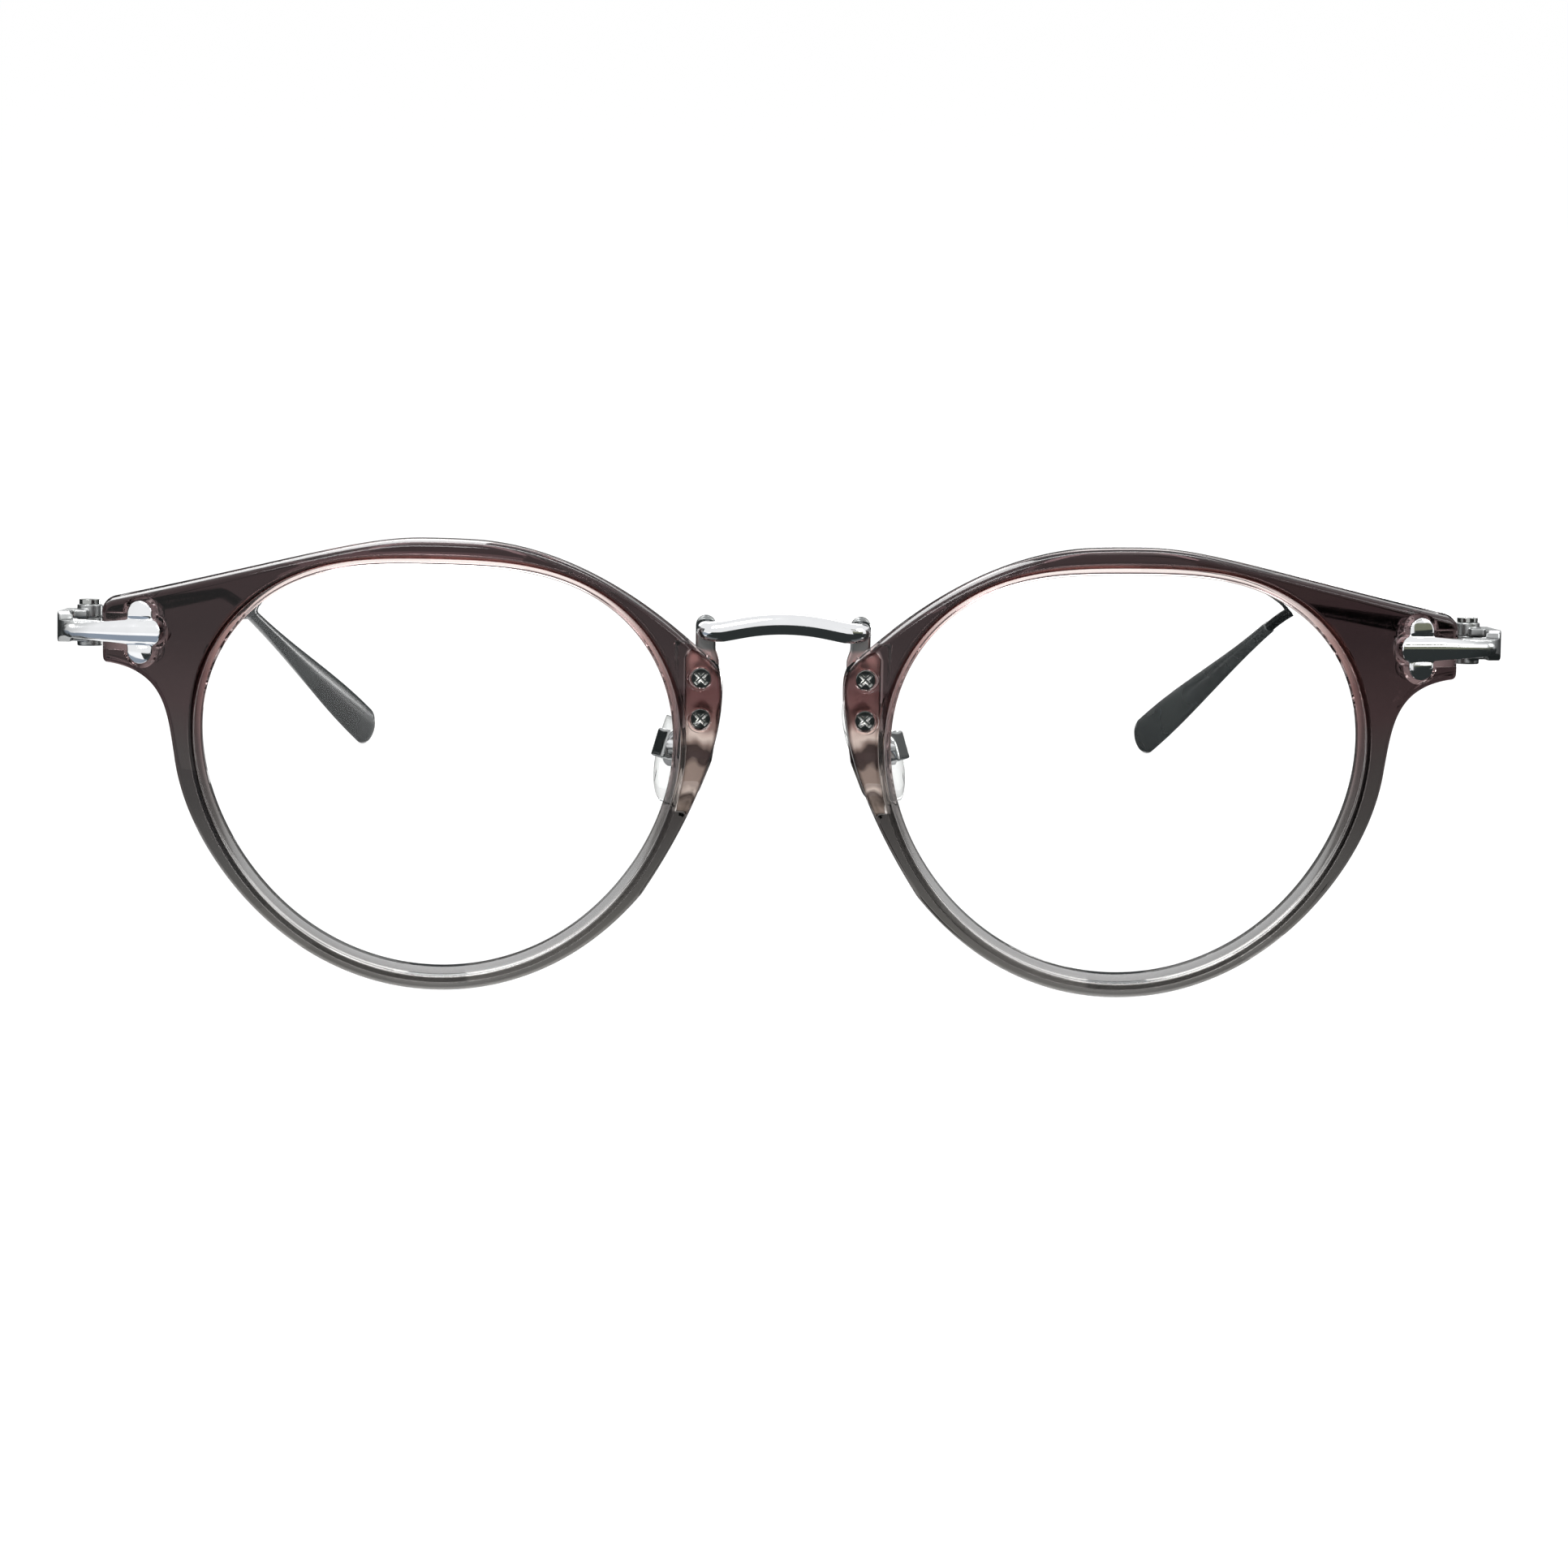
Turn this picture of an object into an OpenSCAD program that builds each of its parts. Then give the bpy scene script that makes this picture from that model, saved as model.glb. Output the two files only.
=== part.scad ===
// Round combination eyeglasses: two acetate rims joined by a metal bridge, with clover
// endpieces, folding temples and screw-mounted nose pads.
// Sizes are in millimetres. +Z is up and the front faces -Y. The glasses stand open on a table
// at z = 0, on the bottoms of the rims and the ends of the temples. The origin lies on the
// table, halfway along their depth. +X is the wearer's left.

/* [Lens shape] */
// Width of the opening in each rim
opening_w = 46.5; // [44:0.5:49]
// Height of the opening in each rim
opening_h = 40.5; // [38.5:0.5:42.5]
// Distance between the two openings, across the nose
nose_gap = 22.1; // [20.1:0.5:25.1]
// How much fuller the lens shape is above its middle than below it
brow_full = 0.9; // [0.4:0.1:1.1]
// How far the lens shape fills out towards a square
squareness = 0.28; // [0.1:0.02:0.4]
// Thickness of the lenses
lens_t = 1.5; // [1.2:0.1:1.8]

/* [Rims] */
// Thickness of the acetate, front to back
rim_t = 4; // [3.8:0.1:4.6]
// Acetate below each opening
rim_wall = 2.2; // [2.1:0.1:2.8]
// Extra acetate above each opening
rim_brow = 0.6; // [0.3:0.1:0.9]
// Extra acetate at the sides of each opening
rim_side = 0.6; // [0.2:0.1:1]
// Radius of the curved front face
front_r = 140; // [125:5:170]
// Turn of each rim towards the side of the face, in degrees
wrap = 4; // [2:0.5:6]
// Depth of the lip in front of the lens
lip_front = 1.2; // [0.9:0.1:1.3]
// How much wider the opening is in front of the lens than behind it
lip_step = 0.8; // [0.6:0.1:0.9]
// How much higher the opening in front of the lens sits than the one behind it
lip_lift = 0.25; // [0:0.05:0.3]
// Depth of the lens groove, from the opening behind the lens
groove_depth = 1.4; // [1.3:0.1:1.6]
// Clearance round a lens in its groove
lens_fit = 0.04; // [0.02:0.01:0.08]
// Width of the acetate lugs at the nose, up to the opening
lug_w = 5.05; // [4.9:0.05:5.6]
// Height of the lugs above the lens centre
lug_rise = 11.8; // [11.4:0.1:12.2]
// Width of the acetate outside each opening, at the endpieces
wing_out = 10.45; // [10:0.05:11]
// Height of the acetate above the middle of the clover
wing_up = 2.9; // [2.5:0.1:3.6]
// Depth of the acetate below the middle of the clover
wing_down = 3.4; // [3.2:0.1:4.2]

/* [Clover endpieces] */
// Distance of the clovers from the openings
clover_out = 6.3; // [6:0.05:6.7]
// Height of the clovers above the lens centres
clover_rise = 12.1; // [11:0.5:12.5]
// Radius of the two round lobes
lobe_r = 1.33; // [1.15:0.05:1.4]
// Distance of each lobe's centre from the bar's middle
lobe_off = 1.8; // [1.6:0.05:2]
// Height of the bar at the clover
bar_h = 2.75; // [2.4:0.1:3]
// Height of the bar at its outer end
bar_end_h = 1.9; // [1.6:0.1:2.3]
// How far the bar stands proud of the acetate
bar_proud = 1; // [0.8:0.05:1.2]
// How far the inner end of the bar lies inside the clover's middle
bar_inner = 2.45; // [2.1:0.05:2.7]
// Depth of the pocket milled into the acetate
pocket_depth = 0.9; // [0.6:0.1:1.2]
// Width of the pocket's border round the metal
pocket_gap = 0.45; // [0.2:0.05:0.5]
// Thickness of the plate behind each clover
backplate_t = 0.6; // [0.5:0.1:0.9]
// Outer radius of the threaded studs through the acetate
stud_r = 0.9; // [0.8:0.05:1]
// Radius of the screws that hold the endpieces
stud_screw_r = 0.5; // [0.4:0.05:0.6]

/* [Hinges] */
// Distance of the side walls' outside from the openings
side_out = 15.05; // [14.8:0.05:16]
// Thickness of the side walls
side_t = 1.3; // [1.1:0.1:1.6]
// Height of the side walls
side_h = 3.1; // [2.8:0.1:3.6]
// Distance of the hinge axis behind the clover's middle
hinge_back = 8; // [7.5:0.5:11]
// Height of the hinge above the middle of the clover, along its axis
hinge_rise = 0.3; // [0:0.1:0.5]
// Radius of the hinge barrel
barrel_r = 1.25; // [1.1:0.05:1.4]
// Height of the whole barrel
barrel_h = 4.2; // [4:0.1:5]
// Height of the temple's knuckle, in the middle of the barrel
knuckle_h = 1.5; // [1.2:0.1:1.8]
// Radius of the hinge screw
hinge_screw_r = 0.6; // [0.5:0.05:0.7]
// Running clearance round the hinge screw
hinge_fit = 0.05; // [0.02:0.01:0.08]
// Gap between moving faces of the hinge
hinge_gap = 0.05; // [0.03:0.01:0.1]

/* [Temples] */
// Depth of the open glasses, from the rims to the temple ends
reach = 140; // [130:1:150]
// Lean of the hinge axes, in degrees: the temples go down at this angle
tilt = 6.5; // [4:0.5:8]
// Distance of the ear bend in front of the temple ends
bend_run = 31; // [28:1:36]
// How far each temple comes in up to the ear bend
bend_in = 7.3; // [3:0.1:9]
// How far each temple comes in up to its end
tip_in = 21.9; // [18:0.1:26]
// Length of the block that carries the hinge knuckle
block_len = 5; // [4:0.5:7]
// Height of the temple where it leaves the block
arm_h = 2.6; // [2.2:0.1:2.8]
// Thickness of the temple where it leaves the block
arm_t = 1.1; // [0.9:0.1:1.1]
// Thickness of the temple wire at the ear bend
wire_d = 1.2; // [1:0.1:1.4]
// Diameter of the core inside the temple tip
core_d = 0.9; // [0.7:0.1:0.9]
// Length of the core inside the temple tip
core_len = 20; // [12:1:24]
// Height of the paddle at the end of the tip
paddle_h = 4.8; // [4:0.1:5.4]
// Thickness of the paddle
paddle_t = 1.9; // [1.7:0.1:2.2]

/* [Bridge] */
// Height of the bridge bar
bridge_h = 2.1; // [1.8:0.1:2.3]
// Depth of the bridge bar, front to back
bridge_d = 1.8; // [1.6:0.1:2.2]
// Height of the bridge's ends above the lens centre
bridge_rise = 13.8; // [13.6:0.1:14.6]
// How much higher the bridge's middle is than its ends
bridge_arch = 0.8; // [0.4:0.1:1.6]
// Distance of the bridge's posts from the openings
post_in = 3.35; // [3.1:0.05:3.6]
// Width of the posts that the bridge ends in
post_w = 2; // [1.8:0.1:2.2]
// Thickness of the plates behind the acetate
plate_t = 0.9; // [0.8:0.1:1.1]
// Reach of the plates below the lens centre
plate_drop = 4.8; // [4.2:0.1:5.4]
// Width of the plates beside the screws, away from the nose
plate_edge = 1.75; // [1.6:0.05:1.9]
// Acetate left between the plates and the edge of the lugs
plate_margin = 0.35; // [0.2:0.05:0.5]
// Distance of the bridge screws from the openings
screw_in = 2.9; // [2.7:0.05:3.1]
// Height of the upper bridge screws above the lens centre
screw_rise = 9; // [8.5:0.1:9.2]
// Distance between the two bridge screws of a side
screw_pitch = 4.1; // [3.6:0.1:4.4]
// Radius of the bridge screws' heads
screw_head_r = 1; // [0.8:0.05:1.05]
// Radius of the bridge screws' shanks
screw_r = 0.6; // [0.5:0.05:0.65]

/* [Nose pads] */
// Distance of the pad screws from the edge of the opening, outwards
pad_out = 0.3; // [0:0.05:0.6]
// Distance of the pad screws behind the front
pad_back = 9.2; // [9:0.1:10.5]
// Height of the pad screws above the lens centre
pad_rise = 0.9; // [0:0.1:2]
// Turn of the pads about the vertical, in degrees
pad_turn = 42; // [36:1:45]
// Splay of the pads, in degrees
pad_splay = 22; // [16:1:25]
// Length of a pad
pad_len = 12.6; // [12:0.2:13.6]
// Width of a pad
pad_w = 7.4; // [6.6:0.1:7.8]
// Thickness of a pad
pad_t = 2.2; // [2:0.1:2.4]
// Diameter of the pad arm wire
arm_d = 1; // [0.8:0.1:1.2]
// Radius of the pad screws
pad_screw_r = 0.35; // [0.3:0.02:0.4]
// Running clearance round the pad screws
pad_fit = 0.04; // [0.02:0.01:0.08]

/* [Hidden] */

// Roundness of small cylinders, and of the large spheres of the front
$fn = 48;
sphere_fn = 360;
// Distance by which a cut runs past a surface
past = 1;
// Smallest gap between parts that are screwed together
seat = 0.02;
// Depth of the cuts through the front, which clears its curve
cut_back = 5 * rim_t;

// Main places
lens_x = (nose_gap + opening_w) / 2;
nose_edge = nose_gap / 2;
side_edge = nose_edge + opening_w;
clover_x = side_edge + clover_out;
side_x = side_edge + side_out;
wing_x = side_edge + wing_out;
lens_z = lens_r(270) + rim_wall;
front_y = -reach / 2;
ball_x = lens_x - front_r * sin(wrap);
ball_y = front_y + front_r;
clover_z = lens_z + clover_rise;
clover_y = face_y(clover_x, clover_z);
turn = asin((clover_x - ball_x) / front_r);
hinge_x = side_x - side_t - 0.15 - barrel_r;
lug_x = nose_edge - lug_w;
lip_back = lip_front + lens_t + 2 * lens_fit;
plate_y = front_y + rim_t + 0.55;

// Radius of the opening behind the lens at an angle about its centre: an ellipse, filled out
// towards a square and fuller above its middle
function lens_r(a) =
    let (hw = opening_w / 2 + squareness, hh = opening_h / 2 + squareness)
    hw * hh / norm([hh * cos(a), hw * sin(a)]) + brow_full * sin(3 * a) - squareness * cos(4 * a);
// Radius of the outside of the rim
function rim_r(a) = lens_r(a) + rim_wall + rim_brow * (1 + sin(a)) / 2 + rim_side * pow(cos(a), 8);
// Point about the lens centre
function polar(r, a) = [lens_x + r * cos(a), lens_z + r * sin(a)];
// Outline of the opening, grown outwards
function opening(grow) = [for (a = [0 : 3 : 357]) polar(lens_r(a) + grow, a)];
// The front face at a place
function face_y(x, z) = ball_y - sqrt(pow(front_r, 2) - pow(x - ball_x, 2) - pow(z - lens_z, 2));
// Cubic curve and its slope
function curve(p, t) =
    pow(1 - t, 3) * p[0] + 3 * t * pow(1 - t, 2) * p[1] + 3 * t * t * (1 - t) * p[2] + pow(t, 3) * p[3];
function slope(p, t) =
    pow(1 - t, 2) * (p[1] - p[0]) + 2 * t * (1 - t) * (p[2] - p[1]) + t * t * (p[3] - p[2]);
// Points of a cubic curve, without its last point
function curve_points(p, n) = [for (i = [0 : n - 1]) curve(p, i / n)];
function unit(v) = v / norm(v);
function mix(a, b, t) = a + (b - a) * t;

// Outline of a rim: the ring round the lens, the wing for the endpiece and the lug at the nose
wing_top = clover_z + wing_up;
wing_low = clover_z - wing_down;
lug_top = lens_z + lug_rise;
ring_start = 212;
ring_side = 360;
ring_top = 86;
ring_nose = 100;
wing_under = [
    polar(rim_r(ring_side), ring_side), [wing_x - 6.7, lens_z + 4.2],
    [wing_x - 6.5, wing_low - 0.6], [wing_x - 0.9, wing_low]
];
wing_low_corner = [
    [wing_x - 0.9, wing_low], [wing_x - 0.4, wing_low], [wing_x - 0.1, wing_low + 0.2], [wing_x - 0.1, wing_low + 0.8]
];
wing_top_corner = [
    [wing_x, wing_top - 1.4], [wing_x, wing_top - 0.6], [wing_x - 0.4, wing_top], [wing_x - 1.4, wing_top + 0.2]
];
wing_over = [
    [wing_x - 1.4, wing_top + 0.2], polar(rim_r(ring_top), ring_top) + [11.5, -2],
    polar(rim_r(ring_top), ring_top) + [5.8, -0.1], polar(rim_r(ring_top), ring_top)
];
lug_over = [
    polar(rim_r(ring_nose), ring_nose), polar(rim_r(ring_nose), ring_nose) + [-11.5, -0.6],
    [lug_x + 4.3, lug_top + 1.4], [lug_x + 2.6, lug_top]
];
lug_corner = [
    [lug_x + 2.6, lug_top], [lug_x + 1.2, lug_top - 0.8], [lug_x + 0.1, lug_top - 1.7], [lug_x, lug_top - 3.3]
];
lug_under = [
    [lug_x, lug_top - 3.3], [lug_x - 0.3, lug_top - 8.4],
    [lug_x + 1.8, lug_top - 15.5], polar(rim_r(ring_start), ring_start)
];
rim_outline = concat(
    [for (a = [ring_start : 3 : ring_side - 1]) polar(rim_r(a), a)],
    curve_points(wing_under, 14), curve_points(wing_low_corner, 4),
    curve_points(wing_top_corner, 5), curve_points(wing_over, 18),
    [for (a = [ring_top : 3 : ring_nose - 1]) polar(rim_r(a), a)],
    curve_points(lug_over, 12), curve_points(lug_corner, 6), curve_points(lug_under, 12)
);

// Draws the left side's shapes on either side of the glasses
module on(side) {
    if (side > 0) children();
    else mirror([1, 0, 0]) children();
}

// An outline in X and Z, solid from one Y to another
module panel(points, y0, y1) {
    translate([0, y1, 0]) rotate([90, 0, 0]) linear_extrude(y1 - y0) polygon(points);
}

// A cylinder along Y
module rod_y(r, y0, y1) {
    translate([0, y0, 0]) rotate([-90, 0, 0]) cylinder(r = r, h = y1 - y0);
}

// A block between two corners
module block(low, high) {
    translate(low) cube(high - low);
}

// The ball whose surface lies at a depth behind the front face
module ball(depth) {
    translate([ball_x, ball_y, lens_z]) sphere(r = front_r - depth, $fn = sphere_fn);
}

// The curved layer between two depths, within an outline
module layer(points, depth0, depth1) {
    difference() {
        intersection() {
            panel(points, front_y - past, front_y + cut_back);
            ball(depth0);
        }
        ball(depth1);
    }
}

// Ring of points round a path, thick across it and high
function ring(p, along, w, h, power, n) =
    let (s = unit(cross(along, [0, 0, 1])), v = cross(s, unit(along)))
    [for (i = [0 : n - 1])
        let (a = 360 * i / n)
        p + s * w / 2 * sign(cos(a)) * pow(abs(cos(a)), 2 / power)
          + v * h / 2 * sign(sin(a)) * pow(abs(sin(a)), 2 / power)];

// A solid swept through stations, each [place, direction, thickness, height]
module sweep(stations, power = 2, n = 16) {
    rings = [for (s = stations) ring(s[0], s[1], s[2], s[3], power, n)];
    last = len(stations) - 1;
    sides = [for (i = [0 : last - 1], j = [0 : n - 1])
        [i * n + j, i * n + (j + 1) % n, (i + 1) * n + (j + 1) % n, (i + 1) * n + j]];
    start_cap = [for (j = [0 : n - 1]) n - 1 - j];
    end_cap = [for (j = [0 : n - 1]) last * n + j];
    polyhedron(points = [for (r = rings) for (p = r) p], faces = concat([start_cap], sides, [end_cap]));
}

// Frame of an endpiece and its hinge, leaning back with the hinge axis
module endpiece_frame() {
    translate([0, clover_y, clover_z]) rotate([-tilt, 0, 0]) children();
}

// Frame of a hinge, level with its axis's middle
module hinge_frame() {
    endpiece_frame() translate([0, 0, hinge_rise]) children();
}

// Frame of a clover, square to the acetate: X out along the bar, Y into the acetate
module clover_frame() {
    endpiece_frame() translate([clover_x, 0, 0]) rotate([0, 0, turn]) children();
}

// A point of the clover's frame in plan in the endpiece's frame
function plan(along, depth) =
    [clover_x + along * cos(turn) - depth * sin(turn), along * sin(turn) + depth * cos(turn)];
// A point of the hinge's frame in the model
function placed(x, y, z) =
    let (h = z + hinge_rise)
    [x, clover_y + y * cos(tilt) + h * sin(tilt), clover_z - y * sin(tilt) + h * cos(tilt)];

// Clover-shaped hole: two lobes and a slot that runs out past the wing
module clover_pocket() {
    lobe = lobe_r + pocket_gap;
    slot_h = bar_h + 2 * pocket_gap;
    for (z = [-lobe_off, lobe_off]) translate([0, 0, z]) rod_y(lobe, -3, pocket_depth);
    block([-lobe, -3, -lobe_off], [lobe, pocket_depth, lobe_off]);
    translate([bar_h / 2 - bar_inner, 0, 0]) {
        rod_y(slot_h / 2, -3, pocket_depth);
        block([0, -3, -slot_h / 2], [9, pocket_depth, slot_h / 2]);
    }
}

// Depth of the milled seat behind the acetate
back_seat = rim_t - 0.25;
back_w = 2 * (lobe_r + 0.05);

// Plate outline with round ends, as a solid along Y
module capsule(grow, y0, y1) {
    for (z = [-lobe_off, lobe_off]) translate([0, 0, z]) rod_y(back_w / 2 + grow, y0, y1);
    block([-back_w / 2 - grow, y0, -lobe_off], [back_w / 2 + grow, y1, lobe_off]);
}

// Bridge plate behind the nose lug, in X and Z
post_x = nose_edge - post_in;
screw_x = nose_edge - screw_in;
plate_top = lens_z + bridge_rise + post_w / 2 - 0.05;
plate_low = lens_z - plate_drop;
plate_in = lug_x + plate_margin;
plate_out = screw_x + plate_edge;
plate_w = plate_out - plate_in;
neck_z = lug_top - plate_w * 0.23;
shoulder_z = neck_z - plate_w * 0.25;
neck_in = post_x - post_w / 2;
neck_out = post_x + post_w / 2;
plate_outline = concat(
    [for (a = [0 : 15 : 180]) [post_x + post_w / 2 * cos(a), plate_top - post_w / 2 + post_w / 2 * sin(a)]],
    [
        [neck_in, neck_z], [plate_in, shoulder_z], [plate_in, lens_z + plate_drop * 0.83],
        [plate_in + plate_w * 0.17, lens_z], [plate_in + plate_w * 0.5, lens_z - plate_drop * 0.62],
        [plate_in + plate_w * 0.9, plate_low], [plate_in + plate_w * 1.2, plate_low],
        [plate_out + plate_w * 0.08, lens_z - plate_drop * 0.42], [plate_out, lens_z + plate_drop * 0.42],
        [plate_out, shoulder_z], [neck_out, neck_z]
    ]
);
screw_seat = 2.1;
head_t = 0.6;
screw_places = [for (i = [0, 1]) [screw_x, 0, lens_z + screw_rise - i * screw_pitch]];

// One acetate rim, with its lens groove, clover pocket and screw holes
module rim(side) {
    color([0.28, 0.2, 0.22]) on(side) difference() {
        layer(rim_outline, 0, rim_t);
        panel(opening(0), front_y - past, front_y + cut_back);
        difference() {
            translate([0, 0, lip_lift]) panel(opening(lip_step), front_y - past, front_y + cut_back);
            ball(lip_front);
        }
        layer(opening(groove_depth), lip_front, lip_back);
        clover_frame() {
            clover_pocket();
            capsule(0.1, back_seat, rim_t + 4);
            for (z = [-lobe_off, lobe_off]) translate([0, 0, z]) rod_y(stud_r + lens_fit, 0, rim_t + 1);
        }
        block([lug_x - 2, plate_y, plate_low - 0.3], [plate_out + 0.7, plate_y + 4, plate_top + 1]);
        for (p = screw_places) translate(p) {
            rod_y(screw_head_r + 0.25, front_y - past, front_y + screw_seat);
            rod_y(screw_r + lens_fit, front_y, front_y + rim_t + 2);
        }
    }
}

// One clear lens, curved like the rim and held in its groove
module lens(side) {
    color([0.85, 0.9, 0.92, 0.35]) on(side)
        layer(opening(groove_depth - lens_fit), lip_front + lens_fit, lip_back - lens_fit);
}

// Bridge bar: an arch over the nose that turns back to a plate at each end
bridge_z = lens_z + bridge_rise;
bridge_y = front_y + bridge_d / 2;
bridge_turn = 1.6;
bridge_half = [
    [[0, bridge_y, bridge_z + bridge_arch], [2.8, bridge_y, bridge_z + bridge_arch],
        [post_x - 3.2, bridge_y, bridge_z + 0.3], [post_x - bridge_turn, bridge_y + 0.1, bridge_z]],
    [[post_x - bridge_turn, bridge_y + 0.1, bridge_z], [post_x - 0.6, bridge_y + 0.15, bridge_z - 0.1],
        [post_x, bridge_y + 0.6, bridge_z - 0.1], [post_x, bridge_y + bridge_turn, bridge_z - 0.1]]
];
bridge_path = concat(
    [for (i = [0 : 8]) [curve(bridge_half[0], i / 8), slope(bridge_half[0], i / 8), bridge_d, bridge_h]],
    [for (i = [1 : 6]) [curve(bridge_half[1], i / 6), slope(bridge_half[1], i / 6), mix(bridge_d, post_w, i / 6),
        mix(bridge_h, post_w - 0.2, i / 6)]],
    [[[post_x, plate_y, bridge_z - 0.1], [0, 1, 0], post_w, post_w - 0.2]]
);
function flip_x(p) = [-p[0], p[1], p[2]];
module bridge_bar() {
    half = len(bridge_path) - 1;
    right = [for (i = [half : -1 : 1]) let (s = bridge_path[i]) [flip_x(s[0]), -flip_x(s[1]), s[2], s[3]]];
    color([0.78, 0.79, 0.8]) sweep(concat(right, bridge_path));
}

// Metal plate behind the nose lug, tapped for the two bridge screws
module bridge_plate(side) {
    color([0.78, 0.79, 0.8]) on(side) difference() {
        panel(plate_outline, plate_y, plate_y + plate_t);
        for (p = screw_places) translate(p) rod_y(screw_r + seat, plate_y - past, plate_y + plate_t + past);
    }
}

// Cross recess for a screw head, cut from its top at y = 0
module cross_recess(r, deep) {
    for (a = [45, 135]) rotate([0, a, 0]) block([-r, -past, -r * 0.2], [r, deep, r * 0.2]);
}

// The two screws through the nose lug
module bridge_screws(side) {
    color([0.3, 0.3, 0.3]) on(side) for (p = screw_places) translate(p) difference() {
        union() {
            rod_y(screw_head_r, front_y + screw_seat - head_t, front_y + screw_seat);
            rod_y(screw_r, front_y + screw_seat, plate_y + plate_t + 0.1);
        }
        translate([0, front_y + screw_seat - head_t, 0]) cross_recess(screw_head_r * 0.75, 0.3);
    }
}

pad_x = nose_edge + pad_out;
// Frame of a pad screw: X away from the nose, Y along the screw, Z up the pad
module pad_frame() {
    translate([pad_x, front_y + pad_back, lens_z + pad_rise]) rotate([0, 0, -pad_turn]) rotate([0, -pad_splay, 0])
        children();
}
function pad_point(x, y, z) =
    let (a = x * cos(pad_splay) - z * sin(pad_splay))
    [pad_x + a * cos(pad_turn) + y * sin(pad_turn), front_y + pad_back - a * sin(pad_turn) + y * cos(pad_turn),
        lens_z + pad_rise + x * sin(pad_splay) + z * cos(pad_splay)];

// Box that holds a pad's lug
box_w = 1.9;
box_h = 3;
box_mouth = -0.7;
box_end = 1.2;
lug_half = 0.42;
lug_r = 0.62;
pad_face = -1.15;
insert_t = 0.5;
pad_up = 0.6;

// Wire arm from the bridge plate to the pad box
pad_root = [plate_in + 2.1, plate_y + plate_t, lens_z + 1.9];
pad_entry = pad_point(box_end - arm_d / 2, -box_w / 2, 0);
pad_path = [pad_root, pad_root + [0.1, 1.4, 0], pad_point(box_end - arm_d / 2, -box_w / 2 - 1.4, 0), pad_entry];
module pad_arm(side) {
    color([0.78, 0.79, 0.8]) on(side) sweep(
        concat(
            [[pad_root, [0, 1, 0], arm_d, arm_d]],
            [for (i = [1 : 9]) [curve(pad_path, i / 10), slope(pad_path, i / 10), arm_d, arm_d]],
            [[pad_entry, pad_point(0, 1, 0) - pad_point(0, 0, 0), arm_d, arm_d]]
        ),
        n = 12
    );
}

// Small metal box with a slot for the pad's lug
module pad_box(side) {
    color([0.78, 0.79, 0.8]) on(side) pad_frame() difference() {
        block([box_mouth, -box_w / 2, -box_h / 2], [box_end, box_w / 2, box_h / 2]);
        block([box_mouth - past, -lug_half - 0.08, -box_h], [lug_r + 0.15, lug_half + 0.08, box_h]);
        rod_y(pad_screw_r + seat, -box_w, box_w);
    }
}

// Screw on which the pad rocks
module pad_screw(side) {
    head = 0.4;
    color([0.6, 0.6, 0.6]) on(side) pad_frame() difference() {
        union() {
            rod_y(pad_screw_r, -box_w / 2, box_w / 2);
            rod_y(pad_screw_r * 1.8, box_w / 2, box_w / 2 + head);
        }
        block([-1, box_w / 2 + head - 0.15, -0.08], [1, box_w, 0.08]);
    }
}

// Metal insert: a disc sunk in the pad's back and a lug on the pad screw
module pad_insert(side) {
    color([0.7, 0.7, 0.7]) on(side) pad_frame() difference() {
        union() {
            translate([pad_face - insert_t, 0, 0]) rotate([0, 90, 0]) cylinder(r = 2, h = insert_t);
            block([pad_face - 0.1, -lug_half, -lug_r], [0, lug_half, lug_r]);
            rod_y(lug_r, -lug_half, lug_half);
        }
        rod_y(pad_screw_r + pad_fit, -2, 2);
    }
}

// Clear silicone pad: a rounded drop, thicker towards its foot
function pad_station(t) =
    let (a = 90 * t, full = pow(max(1 - pow(abs(t), 2.4), 0.0004), 0.45))
    [[0, pad_len / 2 * t, 0], [0, 1, 0], pad_t * full, pad_w * full * (1 - 0.12 * t)];
module nose_pad(side) {
    color([0.9, 0.92, 0.92, 0.5]) on(side) pad_frame() difference() {
        translate([pad_face - pad_t / 2, 0, pad_up]) rotate([90, 0, 0])
            sweep([for (i = [-8 : 8]) pad_station(sin(90 * i / 8) * 0.999)], power = 2.4, n = 20);
        translate([pad_face - insert_t - seat, 0, 0]) rotate([0, 90, 0])
            cylinder(r = 2 + seat, h = insert_t + pad_t);
    }
}

// Outline of the wrap in plan: from the bar round the corner to the hinge
wrap_at = 4.6;
wrap_front = bar_proud * 0.45;
corner_out = (side_x - clover_x - bar_proud * sin(turn)) / cos(turn);
bar_end_r = bar_h / 2 + 0.05;
bar_tip = corner_out - bar_end_r - 0.1;
corner_in = (side_x - side_t - clover_x + 0.55 * sin(turn)) / cos(turn);
wrap_plan = concat(
    curve_points([plan(corner_out - 1.9, -wrap_front), plan(corner_out - 0.8, -wrap_front),
        [side_x, plan(corner_out, -wrap_front)[1] + 0.5], [side_x, plan(corner_out, -wrap_front)[1] + 1.9]], 8),
    [[side_x, plan(corner_out, -wrap_front)[1] + 1.9], [side_x, hinge_back], [side_x - side_t, hinge_back]],
    curve_points([plan(corner_in, 0.55) + [0, 1], plan(corner_in, 0.55) + [0, 0.3],
        plan(corner_in - 0.3, 0.55), plan(corner_in - 1, 0.55)], 4),
    [plan(corner_in - 1, 0.55), plan(wrap_at, 0.55), plan(wrap_at, -wrap_front)]
);
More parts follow.
